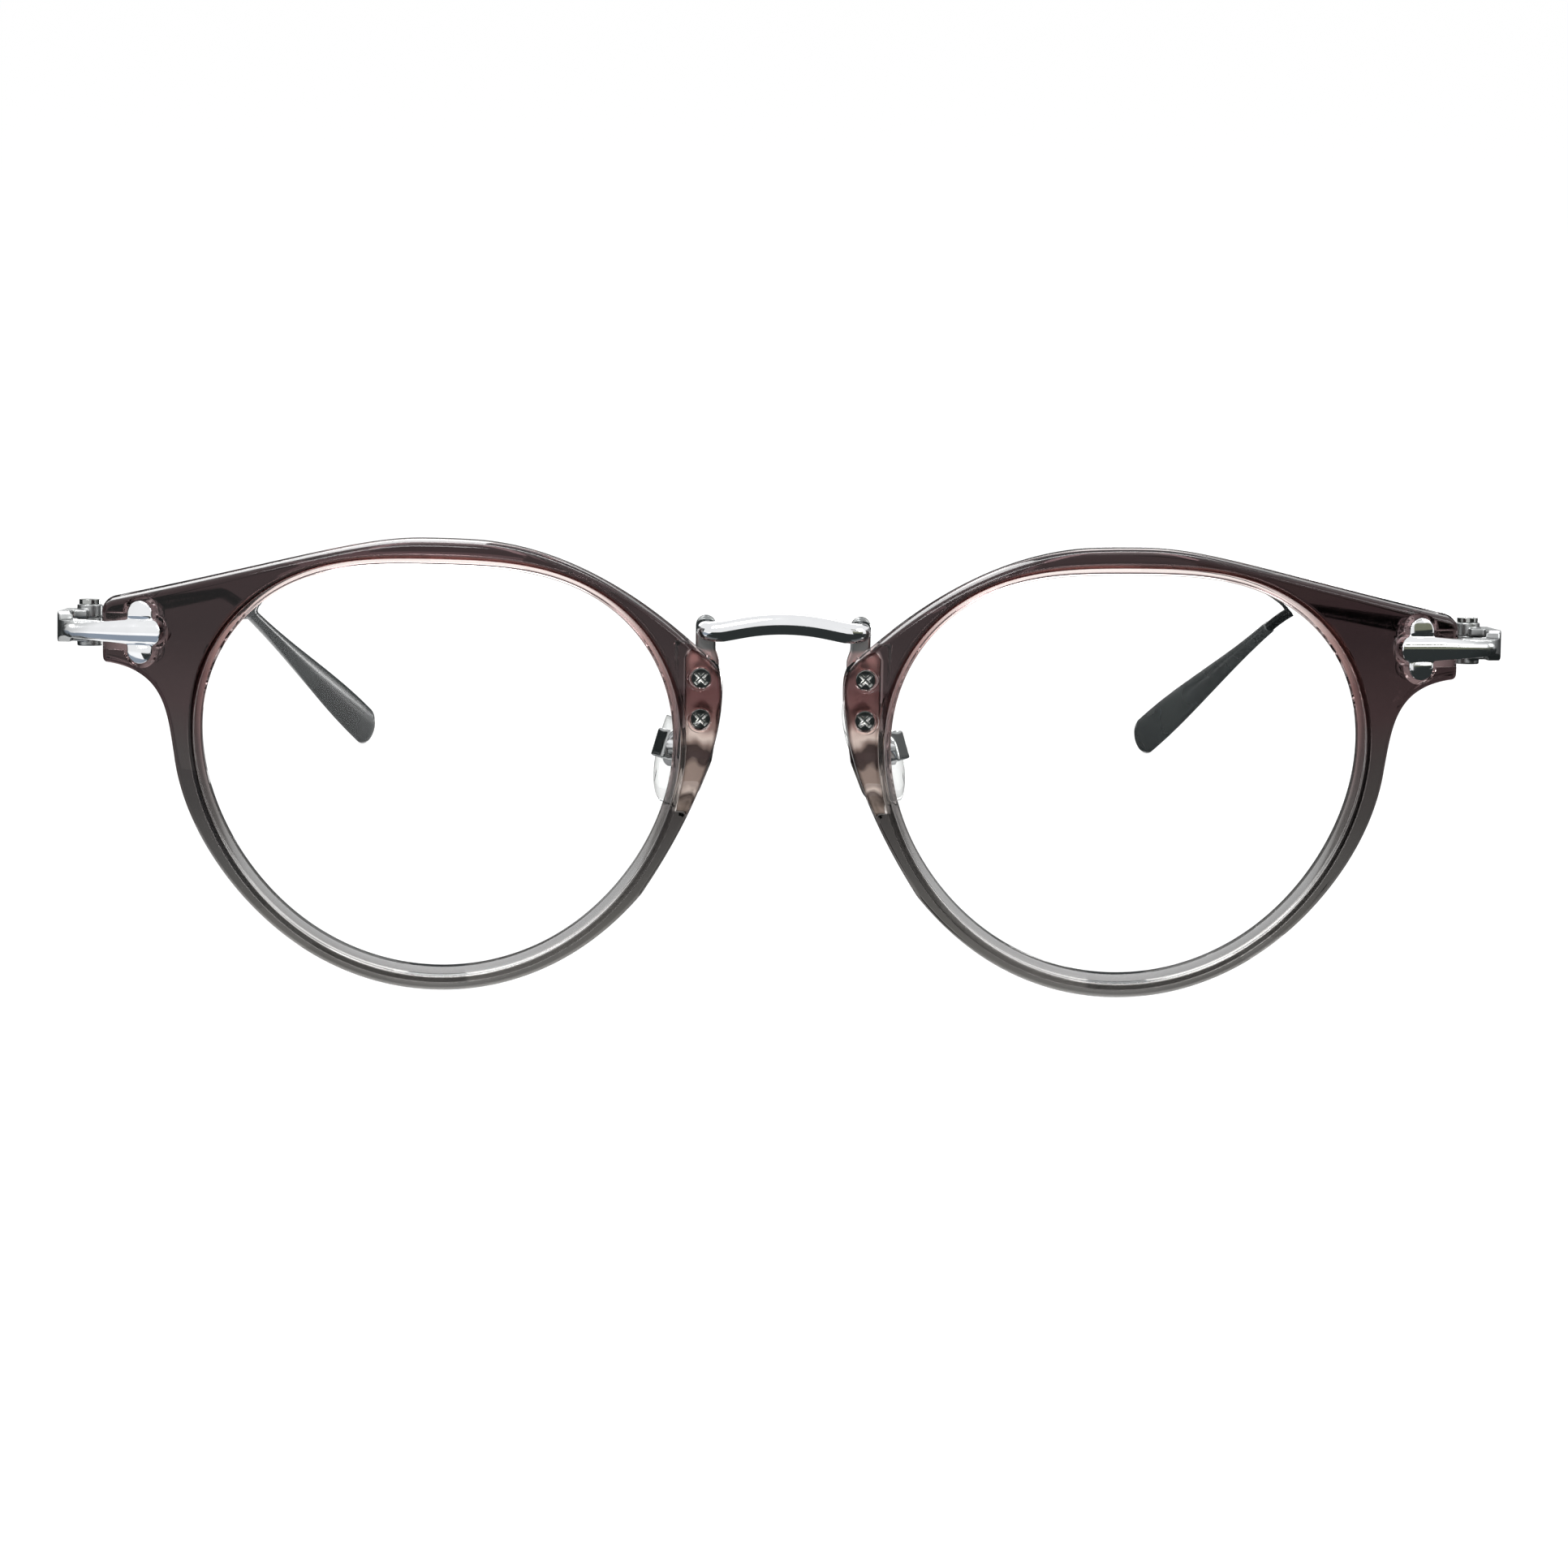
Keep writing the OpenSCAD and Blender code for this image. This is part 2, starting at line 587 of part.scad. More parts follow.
// Side view of the wrap: low at the bar's end and full height at the hinge
module wrap_side() {
    points = [[0, bar_end_h / 2 - 0.1], [1.9, bar_end_h / 2], [3.6, side_h / 2], [hinge_back, side_h / 2]];
    mirrored = [for (i = [3 : -1 : 0]) [points[i][0], -points[i][1]]];
    translate([clover_x, 0, 0]) rotate([90, 0, 90]) linear_extrude(side_out) polygon(concat(points, mirrored));
}

// Barrel of a hinge between two heights, with its web to the side wall
module knuckle(z0, z1, web_y0, web_y1, web_top) {
    translate([hinge_x, hinge_back, z0]) cylinder(r = barrel_r, h = z1 - z0);
    web0 = max(z0, -web_top);
    web1 = min(z1, web_top);
    block([hinge_x, web_y0, web0], [side_x - side_t + 0.1, web_y1, web1]);
}

// Metal endpiece: clover and half-round bar in front, wrap, and the outer hinge knuckles
module endpiece(side) {
    half_r = bar_h / 2 + 0.2;
    knuckle_z = knuckle_h / 2 + hinge_gap;
    color([0.8, 0.81, 0.82]) on(side) difference() {
        union() {
            clover_frame() {
                for (z = [-lobe_off, lobe_off]) translate([0, 0, z]) {
                    rod_y(lobe_r, -0.35, pocket_depth - seat);
                    rod_y(stud_r, pocket_depth - seat, back_seat - 0.05);
                }
                block([-lobe_r, -0.35, -lobe_off], [lobe_r, pocket_depth - seat, lobe_off]);
                bar(half_r);
            }
            hinge_frame() {
                intersection() {
                    translate([0, 0, -side_h]) linear_extrude(2 * side_h) polygon(wrap_plan);
                    wrap_side();
                }
                for (s = [-1, 1]) {
                    low = s > 0 ? knuckle_z : -barrel_h / 2;
                    high = s > 0 ? barrel_h / 2 : -knuckle_z;
                    knuckle(low, high, hinge_back - 2.2, hinge_back, side_h / 2);
                }
            }
        }
        hinge_frame() translate([hinge_x, hinge_back, -barrel_h]) cylinder(r = hinge_screw_r + seat, h = 2 * barrel_h);
        clover_frame() for (z = [-lobe_off, lobe_off]) translate([0, 0, z]) rod_y(stud_screw_r + seat, 1.2, back_seat + 1);
    }
}

// Half-round bar, tapering outwards to a rounded end, cut to its height above and below
module bar(half_r) {
    bar_back = pocket_depth - seat;
    length = bar_inner + bar_tip;
    tip_r = bar_end_h / 2;
    intersection() {
        translate([-bar_inner, -bar_proud + half_r, 0]) rotate([0, 90, 0]) {
            cylinder(r1 = half_r, r2 = bar_end_r, h = length);
            translate([bar_end_r - half_r, 0, length]) sphere(r = bar_end_r);
        }
        panel(concat(
            [for (a = [90 : 15 : 270]) [bar_h / 2 * (1 + cos(a)) - bar_inner, bar_h / 2 * sin(a)]],
            [for (a = [-90 : 15 : 90]) [bar_tip + tip_r * cos(a), tip_r * sin(a)]]
        ), -bar_proud - past, bar_back);
    }
}

// Plate behind the acetate that the endpiece is screwed to
module backplate(side) {
    color([0.7, 0.7, 0.7]) on(side) clover_frame() difference() {
        capsule(0, back_seat, back_seat + backplate_t);
        for (z = [-lobe_off, lobe_off]) translate([0, 0, z]) rod_y(stud_screw_r + lens_fit, 0, rim_t + 2);
    }
}

// The two screws through each backplate
module endpiece_screws(side) {
    head_y = back_seat + backplate_t;
    color([0.55, 0.55, 0.55]) on(side) clover_frame() for (z = [-lobe_off, lobe_off]) translate([0, 0, z]) difference() {
        union() {
            rod_y(stud_screw_r, 1.4, head_y);
            rod_y(stud_screw_r * 2, head_y, head_y + 0.45);
        }
        block([-2, head_y + 0.25, -0.12], [2, head_y + 2, 0.12]);
    }
}

// Hinge screw, with its slotted head on top of the barrel
module hinge_screw(side) {
    top = barrel_h / 2;
    color([0.75, 0.76, 0.77]) on(side) hinge_frame() translate([hinge_x, hinge_back, 0]) difference() {
        union() {
            translate([0, 0, -top]) cylinder(r = hinge_screw_r, h = 2 * top);
            translate([0, 0, top]) cylinder(r = hinge_screw_r * 1.75, h = 0.5);
        }
        block([-2, -0.13, top + 0.25], [2, 0.13, top + 2]);
    }
}

// Temple block with the middle knuckle
module temple_hinge(side) {
    butt = hinge_back + hinge_gap;
    end_y = hinge_back + block_len;
    color([0.6, 0.61, 0.62]) on(side) hinge_frame() difference() {
        union() {
            intersection() {
                block([side_x - side_t, butt, -side_h], [side_x, end_y, side_h]);
                translate([side_x - 5, 0, 0]) rotate([90, 0, 90]) linear_extrude(10) polygon([
                    [butt, -side_h / 2], [end_y - 1.5, -side_h / 2], [end_y, -arm_h / 2],
                    [end_y, arm_h / 2], [end_y - 1.5, side_h / 2], [butt, side_h / 2]
                ]);
            }
            knuckle(-knuckle_h / 2, knuckle_h / 2, butt, hinge_back + barrel_r, side_h / 2);
        }
        translate([hinge_x, hinge_back, -side_h]) cylinder(r = hinge_screw_r + hinge_fit, h = 2 * side_h);
    }
}

// Path of a temple: from the block to the ear bend, round it, and down to the tip's end
arm_start = placed(side_x - side_t / 2, hinge_back + block_len, 0);
arm_back = [0, cos(tilt), -sin(tilt)];
bend_y = front_y + reach - bend_run;
bend = [side_x - bend_in, bend_y, arm_start[2] - (bend_y - arm_start[1]) * tan(tilt)];
arm_dir = unit(bend - arm_start);
// The paddle's rounded end touches the table and reaches the back of the glasses
cap_len = 0.45 * paddle_h;
tip_yaw = atan((tip_in - bend_in) / (bend_run - 2));
function paddle_at(d) = [
    side_x - tip_in,
    front_y + reach
        - norm([cap_len * cos(d) * cos(tip_yaw), paddle_h / 2 * sin(d) * cos(tip_yaw), paddle_t / 2 * sin(tip_yaw)]),
    norm([cap_len * sin(d), paddle_h / 2 * cos(d)])
];
function drop_to(p) = atan2(bend[2] - p[2], norm([p[0] - bend[0], p[1] - bend[1]]));
paddle_mid = paddle_at(drop_to(paddle_at(drop_to(paddle_at(35)))));
tip_dir = unit(paddle_mid - bend);
bend_round = 6;
bend_from = bend - arm_dir * bend_round;
bend_to = bend + tip_dir * bend_round;
arm_path = [arm_start, arm_start + arm_back * 30, bend_from - arm_dir * 25, bend_from];
bend_path = [bend_from, bend - arm_dir * bend_round * 0.45, bend + tip_dir * bend_round * 0.45, bend_to];
tip_run = norm(paddle_mid - bend_to);

// Metal temple: a flat bar that thins to a wire, with its core in the tip
module temple(side) {
    color([0.35, 0.37, 0.38]) on(side) {
        sweep(
            concat(
                [for (i = [0 : 19]) let (t = i / 20, m = pow(t, 0.7))
                    [curve(arm_path, t), slope(arm_path, t), mix(arm_t, wire_d, m), mix(arm_h - 0.1, wire_d, m)]],
                [for (i = [0 : 8]) [curve(bend_path, i / 8), slope(bend_path, i / 8), wire_d, wire_d]]
            ),
            n = 14
        );
        core();
    }
}

// Straight core that the tip is pushed onto
module core(grow = 0) {
    yaw = atan2(-tip_dir[0], tip_dir[1]);
    pitch = asin(tip_dir[2]);
    translate(bend_to) rotate([0, 0, yaw]) rotate([pitch, 0, 0]) rod_y(core_d / 2 + grow, -0.3, core_len + grow);
}

// Charcoal tip: a sleeve on the core that widens to a paddle with a rounded end
function smooth(t) = t * t * (3 - 2 * t);
function tip_size(t) =
    let (w = smooth(min(t / 0.95, 1)))
    [mix(wire_d + 0.3, paddle_t, w), mix(wire_d + 0.3, paddle_h, w)];
module temple_tip(side) {
    body = [for (i = [0 : 14]) concat([bend_to + tip_dir * tip_run * i / 14, tip_dir], tip_size(i / 14))];
    cap = [for (i = [1 : 6])
        let (a = 90 * i / 6.15)
        concat([paddle_mid + tip_dir * cap_len * sin(a), tip_dir], tip_size(1) * cos(a))];
    color([0.22, 0.24, 0.25]) on(side) difference() {
        sweep(concat(body, cap), n = 20);
        core(seat);
    }
}

rim(1);  // rim_left
rim(-1);  // rim_right
lens(1);  // lens_left
lens(-1);  // lens_right
bridge_bar();
bridge_plate(1);  // bridge_plate_left
bridge_plate(-1);  // bridge_plate_right
bridge_screws(1);  // bridge_screws_left
bridge_screws(-1);  // bridge_screws_right
pad_arm(1);  // pad_arm_left
pad_arm(-1);  // pad_arm_right
pad_box(1);  // pad_box_left
pad_box(-1);  // pad_box_right
pad_screw(1);  // pad_screw_left
pad_screw(-1);  // pad_screw_right
pad_insert(1);  // pad_insert_left
pad_insert(-1);  // pad_insert_right
nose_pad(1);  // nose_pad_left
nose_pad(-1);  // nose_pad_right
endpiece(1);  // endpiece_left
endpiece(-1);  // endpiece_right
backplate(1);  // backplate_left
backplate(-1);  // backplate_right
endpiece_screws(1);  // endpiece_screws_left
endpiece_screws(-1);  // endpiece_screws_right
hinge_screw(1);  // hinge_screw_left
hinge_screw(-1);  // hinge_screw_right
temple_hinge(1);  // temple_hinge_left
temple_hinge(-1);  // temple_hinge_right
temple(1);  // temple_left
temple(-1);  // temple_right
temple_tip(1);  // temple_tip_left
temple_tip(-1);  // temple_tip_right
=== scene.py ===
import math

import bmesh
import bpy
import numpy as np
from mathutils import Matrix, Vector


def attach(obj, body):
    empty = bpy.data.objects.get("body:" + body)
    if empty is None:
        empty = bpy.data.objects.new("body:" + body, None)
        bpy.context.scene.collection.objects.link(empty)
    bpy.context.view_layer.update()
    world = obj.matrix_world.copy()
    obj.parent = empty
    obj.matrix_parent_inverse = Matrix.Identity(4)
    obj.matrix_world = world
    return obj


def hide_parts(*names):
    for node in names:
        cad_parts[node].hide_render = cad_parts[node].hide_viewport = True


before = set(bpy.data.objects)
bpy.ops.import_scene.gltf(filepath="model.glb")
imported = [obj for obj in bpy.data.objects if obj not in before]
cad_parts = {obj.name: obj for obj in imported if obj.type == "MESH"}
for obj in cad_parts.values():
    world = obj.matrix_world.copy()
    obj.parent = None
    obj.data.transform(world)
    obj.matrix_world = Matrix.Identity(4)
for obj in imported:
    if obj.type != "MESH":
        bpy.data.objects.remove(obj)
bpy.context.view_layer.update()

MM = 0.001
sin, cos, rad = math.sin, math.cos, math.radians

# Sizes of the CAD model, in millimetres and degrees
# Lenses and their openings
opening_w = 46.5
opening_h = 40.5
nose_gap = 22.1
brow_full = 0.9
squareness = 0.28
lens_t = 1.5

# Rims
front_r = 140.0
wrap = 4.0
rim_t = 4.0
rim_wall = 2.2
rim_brow = 0.6
rim_side = 0.6
lip_front = 1.2
lip_step = 0.8
lip_lift = 0.25
groove = 1.4
fit = 0.04
lug_w = 5.05
lug_rise = 11.8
wing_out = 10.45
wing_up = 2.9
wing_down = 3.4

# Clovers and their pockets
clover_out = 6.3
clover_rise = 12.1
lobe_r = 1.33
lobe_off = 1.8
bar_h = 2.75
bar_inner = 2.45
pocket_depth = 0.9
pocket_gap = 0.45

# Hinges, temples and tips
side_out = 15.05
side_t = 1.3
hinge_back = 8.0
hinge_rise = 0.3
block_len = 5.0
reach = 140.0
tilt = 6.5
bend_run = 31.0
bend_in = 7.3
tip_in = 21.9
arm_h = 2.6
arm_t = 1.1
wire_d = 1.2
core_d = 0.9
core_len = 20.0
paddle_h = 4.8
paddle_t = 1.9

# Bridge, its plates and screws
bridge_h = 2.1
bridge_d = 1.8
bridge_rise = 13.8
bridge_arch = 0.8
post_in = 3.35
post_w = 2.0
plate_t = 0.9
screw_in = 2.9
screw_rise = 9.0
screw_pitch = 4.1
screw_head_r = 1.0
screw_r = 0.6

# Nose pads, their boxes and arms
pad_out = 0.3
pad_back = 9.2
pad_rise = 0.9
pad_turn = 42.0
pad_splay = 22.0
pad_len = 12.6
pad_w = 7.4
pad_t = 2.2
pad_face = -1.15
pad_up = 0.6
box_w = 1.9
box_end = 1.2
arm_d = 1.0


def lens_r(a):
    hw, hh = opening_w / 2 + squareness, opening_h / 2 + squareness
    return (hw * hh / math.hypot(hh * cos(rad(a)), hw * sin(rad(a))) + brow_full * sin(rad(3 * a))
            - squareness * cos(rad(4 * a)))


def rim_r(a):
    return lens_r(a) + rim_wall + rim_brow * (1 + sin(rad(a))) / 2 + rim_side * cos(rad(a)) ** 8


# Places worked out from the sizes
nose_edge = nose_gap / 2
side_edge = nose_edge + opening_w
lens_x = (nose_gap + opening_w) / 2
lens_z = lens_r(270) + rim_wall
front_y = -reach / 2
ball = np.array([lens_x - front_r * sin(rad(wrap)), front_y + front_r, lens_z])
clover_x = side_edge + clover_out
clover_z = lens_z + clover_rise
side_x = side_edge + side_out
wing_x = side_edge + wing_out
wing_top = clover_z + wing_up
wing_low = clover_z - wing_down
lug_x = nose_edge - lug_w
lug_top = lens_z + lug_rise
neck_z = lug_top - 0.4
plate_y = front_y + rim_t + 0.55
plate_low = lens_z - 4.8
plate_in = lug_x + 0.35
plate_out = nose_edge - screw_in + 1.75
plate_top = lens_z + bridge_rise + post_w / 2 - 0.05
screw_x = nose_edge - screw_in
screw_z = lens_z + screw_rise


def polar(r, a):
    """A place at a distance and an angle from the middle of the right lens, seen from the front."""
    return np.array([lens_x + r * cos(rad(a)), lens_z + r * sin(rad(a))])


def face_y(x, z, depth=0.0):
    """How far back the curved front lies at a place, or a sheet at a depth in it."""
    return ball[1] - np.sqrt((front_r - depth) ** 2 - (x - ball[0]) ** 2 - (z - ball[2]) ** 2)


def bezier(p, t):
    """A place on the cubic curve with four control points."""
    p = [np.array(q, float) for q in p]
    return (1 - t) ** 3 * p[0] + 3 * t * (1 - t) ** 2 * p[1] + 3 * t * t * (1 - t) * p[2] + t ** 3 * p[3]


def slope(p, t):
    """The curve's direction there."""
    p = [np.array(q, float) for q in p]
    return (1 - t) ** 2 * (p[1] - p[0]) + 2 * t * (1 - t) * (p[2] - p[1]) + t * t * (p[3] - p[2])


def unit(v):
    return np.array(v, float) / np.linalg.norm(v)


def quarter(n):
    """A rounded edge as pairs of 1 - cos and 1 - sin, over a quarter turn."""
    return [(1 - cos(rad(f)), 1 - sin(rad(f))) for f in np.linspace(0, 90, n)]


def full(v, power):
    """A cosine or sine drawn towards 1, which makes an oval's corners fuller."""
    return math.copysign(abs(v) ** power, v)


# Mesh helpers
def flip(points):
    return np.array(points, float) * (-1, 1, 1)


def volume(points, faces):
    """Signed volume, which is negative where the faces point inwards."""
    middle = points.mean(0)
    total = 0.0
    for f in faces:
        p = points[list(map(int, f))] - middle
        total += float(np.cross(p[1:-1], p[2:]).sum(0) @ p[0])
    return total / 6


def new_mesh(name, points, faces):
    """A mesh from points in millimetres."""
    mesh = bpy.data.meshes.new(name)
    mesh.from_pydata((np.array(points, float) * MM).tolist(), [], [list(map(int, f)) for f in faces])
    return mesh


def new_object(name, data):
    ob = bpy.data.objects.new(name, data)
    bpy.context.scene.collection.objects.link(ob)
    return ob


def smoothed(mesh):
    mesh.polygons.foreach_set("use_smooth", [True] * len(mesh.polygons))


def piece(name, points, faces, body, cad, slot, material, mirrored=False, smooth=40, modifiers=(),
          shares=None):
    """A mesh from points in millimetres, riding on a body in place of a CAD node.

    shares gives each point's part in a named look, which its material reads.
    """
    points = np.array(points, float)
    if mirrored:
        points = flip(points)
    if volume(points, faces) < 0:
        faces = [f[::-1] for f in faces]
    mesh = new_mesh(name, points, faces)
    for label, values in (shares or {}).items():
        mesh.attributes.new(label, "FLOAT", "POINT").data.foreach_set("value", np.array(values, np.float32))
    dress(new_object(name, mesh), body, cad, material, smooth, modifiers)


def dress(ob, body, cad, material, smooth=40, modifiers=()):
    """Material, smooth shading up to an angle, body and CAD node of a new object."""
    mesh = ob.data
    mesh.materials.clear()
    mesh.materials.append(material)
    smoothed(mesh)
    mesh.set_sharp_from_angle(angle=rad(smooth))
    for kind, values in modifiers:
        add(ob, kind, **values)
    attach(ob, body)
    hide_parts(cad)


def add(ob, kind, **values):
    m = ob.modifiers.new(kind.lower(), kind)
    for k, v in values.items():
        setattr(m, k, v)


def baked(ob):
    """The object's mesh with its modifiers applied."""
    graph = bpy.context.evaluated_depsgraph_get()
    mesh = bpy.data.meshes.new_from_object(ob.evaluated_get(graph))
    points = np.array([v.co for v in mesh.vertices], float) / MM
    faces = [list(p.vertices) for p in mesh.polygons]
    return points, faces


def grid_faces(rows, columns, closed_rows=False):
    """Four-sided faces between rings of points."""
    faces = []
    for i in range(rows if closed_rows else rows - 1):
        for j in range(columns):
            a, b = i * columns + j, i * columns + (j + 1) % columns
            c, d = ((i + 1) % rows) * columns + (j + 1) % columns, ((i + 1) % rows) * columns + j
            faces.append([a, b, c, d])
    return faces


def sweep(stations, n=32, power=2.0):
    """Points and faces of a tube through stations, each (place, direction, thickness, height)."""
    points = []
    for p, along, w, h in stations:
        s = unit(np.cross(along, [0, 0, 1]))
        v = np.cross(s, unit(along))
        for i in range(n):
            a = 2 * math.pi * i / n
            x, y = w / 2 * full(cos(a), 2 / power), h / 2 * full(sin(a), 2 / power)
            points.append(np.array(p, float) + s * x + v * y)
    faces = grid_faces(len(stations), n)
    faces += [list(range(n))[::-1], [(len(stations) - 1) * n + j for j in range(n)]]
    return points, faces


def loft(rings):
    """A closed solid through rings of the same number of points."""
    n = len(rings[0])
    points = [p for ring in rings for p in ring]
    faces = grid_faces(len(rings), n)
    faces += [list(range(n))[::-1], [(len(rings) - 1) * n + j for j in range(n)]]
    return points, faces


def cleaned(cad):
    """A copy of a CAD node's mesh with its seams closed and its flat faces whole."""
    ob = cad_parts[cad]
    bm = bmesh.new()
    bm.from_mesh(ob.data)
    bmesh.ops.remove_doubles(bm, verts=bm.verts, dist=2e-6)
    bmesh.ops.dissolve_limit(bm, angle_limit=rad(0.6), verts=bm.verts, edges=bm.edges)
    mesh = bpy.data.meshes.new(cad + ".polished")
    bm.to_mesh(mesh)
    bm.free()
    return mesh


def polished(cad, body, material, width):
    """A CAD node's shape with rounded edges."""
    ob = new_object(cad + ".piece", cleaned(cad))
    dress(ob, body, cad, material)
    add(ob, "BEVEL", width=width * MM, segments=3, limit_method="ANGLE", angle_limit=rad(32),
        use_clamp_overlap=True, harden_normals=True)


def melted(cad, body, slot, material, voxel, turns, reshape=None):
    """A CAD node's shape with its forms run into one another, as on a cast and tumbled part."""
    ob = new_object(cad + ".piece", cleaned(cad))
    add(ob, "REMESH", mode="VOXEL", voxel_size=voxel * MM, use_smooth_shade=True)
    add(ob, "SMOOTH", factor=0.5, iterations=turns)
    points, faces = baked(ob)
    bpy.data.objects.remove(ob)
    if reshape:
        points = reshape(points, cad.endswith("right"))
    piece(cad + ".piece", points, faces, body, cad, slot, material, smooth=180)


# Endpieces
clover_turn = math.asin((clover_x - ball[0]) / front_r)
lean = Matrix.Rotation(rad(-tilt), 4, "X")
clover_frame = (Matrix.Translation((0, face_y(clover_x, clover_z), clover_z)) @ lean
                @ Matrix.Translation((clover_x, 0, 0)) @ Matrix.Rotation(clover_turn, 4, "Z"))
dome_rise = 0.2
bar_thinning = 0.3


def domed(points, mirrored):
    """The endpiece with domed lobes and with its bar thinning towards the side."""
    m = np.array(clover_frame)
    p = flip(points) if mirrored else np.array(points, float)
    local = (p - m[:3, 3]) @ m[:3, :3]
    x, y, z = local.T
    ahead = np.clip((0.9 - y) / 0.5, 0, 1)
    for s in (-1, 1):
        r = np.hypot(x, z - s * lobe_off) / lobe_r
        off_bar = np.clip((abs(z) - bar_h / 2 + 0.1) / 0.3, 0, 1)
        y = y - dome_rise * np.clip(1 - r * r, 0, 1) * off_bar * ahead
    front = np.clip((1.6 - y) / 1.2, 0, 1)
    t = np.clip((x - 1.5) / 7.5, 0, 1)
    z = np.where(abs(z) < bar_h / 2 + 0.15, z * (1 - bar_thinning * t * front), z)
    p = np.stack([x, y, z], 1) @ m[:3, :3].T + m[:3, 3]
    return flip(p) if mirrored else p


# Material helpers
def material(name, **values):
    m = bpy.data.materials.new(name)
    m.use_nodes = True
    tree = m.node_tree
    shader = tree.nodes["Principled BSDF"]
    for k, v in values.items():
        shader.inputs[k.replace("_", " ")].default_value = v
    return m, tree, shader


def node(tree, kind, values=(), **settings):
    n = tree.nodes.new(kind)
    for k, v in settings.items():
        setattr(n, k, v)
    for k, v in dict(values).items():
        n.inputs[k].default_value = v
    return n


def ramp(tree, source, stops):
    """Colours between stops, each (place from 0 to 1, colour)."""
    n = tree.nodes.new("ShaderNodeValToRGB")
    while len(n.color_ramp.elements) < len(stops):
        n.color_ramp.elements.new(0.5)
    for e, (at, colour) in zip(n.color_ramp.elements, stops):
        e.position = at
        e.color = (*colour, 1)
    tree.links.new(source, n.inputs["Fac"])
    return n.outputs["Color"]


def grey(v):
    return (v, v, v)


def place(tree):
    return node(tree, "ShaderNodeTexCoord").outputs["Object"]


def axis(tree, name):
    """The place along X, Y or Z, in metres."""
    split = node(tree, "ShaderNodeSeparateXYZ")
    tree.links.new(place(tree), split.inputs["Vector"])
    return split.outputs[name]


def aside(tree):
    """The distance from the middle plane, in metres."""
    return math_of(tree, "ABSOLUTE", axis(tree, "X"))


def noise(tree, scale, detail=3.0, where=None):
    n = node(tree, "ShaderNodeTexNoise", {"Scale": scale, "Detail": detail})
    tree.links.new(where or place(tree), n.inputs["Vector"])
    return n.outputs["Fac"]


def stretched(tree, scale):
    m = node(tree, "ShaderNodeMapping", {"Scale": scale})
    tree.links.new(place(tree), m.inputs["Vector"])
    return m.outputs["Vector"]


def share(tree, label):
    """The points' part in a named look, from 0 to 1."""
    return node(tree, "ShaderNodeAttribute", attribute_name=label).outputs["Fac"]


def facing_away(tree):
    """0 where the surface faces the viewer, 1 at its silhouette."""
    return node(tree, "ShaderNodeLayerWeight", {"Blend": 0.5}).outputs["Facing"]


def mixed(tree, factor, low, high):
    """Mix of two colours, each a socket or a colour."""
    mix = node(tree, "ShaderNodeMix", data_type="RGBA")
    tree.links.new(factor, mix.inputs["Factor"])
    for name, value in (("A", low), ("B", high)):
        if isinstance(value, tuple):
            mix.inputs[name].default_value = (*value, 1)
        else:
            tree.links.new(value, mix.inputs[name])
    return mix.outputs["Result"]


def math_of(tree, operation, *values):
    m = node(tree, "ShaderNodeMath", operation=operation)
    for i, v in enumerate(values):
        if isinstance(v, (int, float)):
            m.inputs[i].default_value = v
        else:
            tree.links.new(v, m.inputs[i])
    return m.outputs["Value"]


def between(tree, value, start, end):
    """0 at the start, 1 at the end."""
    m = node(tree, "ShaderNodeMapRange", {"From Min": start, "From Max": end})
    tree.links.new(value, m.inputs["Value"])
    return m.outputs["Result"]


def painted(tree, shader, colour):
    tree.links.new(colour, shader.inputs["Base Color"])


def uneven(tree, shader, low, high, scale, detail=4, low_at=0.3, high_at=0.75):
    """Roughness that varies a little."""
    rough = ramp(tree, noise(tree, scale, detail), [(low_at, grey(low)), (high_at, grey(high))])
    tree.links.new(rough, shader.inputs["Roughness"])


def worn(tree, shader, low, high, scale=900.0, scratch=(250, 250, 9000), bump=0.02, distance=2e-5):
    """Uneven roughness with fine polishing marks."""
    uneven(tree, shader, low, high, scale)
    marks = node(tree, "ShaderNodeBump", {"Strength": bump, "Distance": distance})
    tree.links.new(noise(tree, 1.0, 4, stretched(tree, scratch)), marks.inputs["Height"])
    tree.links.new(marks.outputs["Normal"], shader.inputs["Normal"])


def let_lamps_through(tree, shader, tint):
    """Shadow rays pass as through a tinted pane, so that the shadow isn't that of a solid."""
    path = node(tree, "ShaderNodeLightPath")
    clear = node(tree, "ShaderNodeBsdfTransparent", {"Color": (*tint, 1)})
    mix = node(tree, "ShaderNodeMixShader")
    tree.links.new(path.outputs["Is Shadow Ray"], mix.inputs["Fac"])
    tree.links.new(shader.outputs["BSDF"], mix.inputs[1])
    tree.links.new(clear.outputs["BSDF"], mix.inputs[2])
    tree.links.new(mix.outputs["Shader"], tree.nodes["Material Output"].inputs["Surface"])


# Materials
def plate_mask(tree, up):
    """1 on the part of each lug that has the bridge plate behind it."""
    outer = ramp(tree, between(tree, up, (plate_low + 0.4) * MM, (lens_z + 13) * MM), [
        (0.0, grey(0.68)), (0.1, grey(0.62)), (0.25, grey(0.52)), (0.46, grey(0.47)),
        (0.54, grey(0.42)), (0.86, grey(0.42)), (1.0, grey(0.2))])
    outer = math_of(tree, "MULTIPLY_ADD", outer, 4 * MM, (plate_out - 1.8) * MM)
    within = between(tree, math_of(tree, "SUBTRACT", outer, aside(tree)), -0.1 * MM, 0.1 * MM)
    above = between(tree, up, (plate_low - 0.05) * MM, (plate_low + 0.15) * MM)
    below = between(tree, up, (neck_z + 0.3) * MM, (neck_z - 0.1) * MM)
    return math_of(tree, "MULTIPLY", math_of(tree, "MULTIPLY", within, above), below)


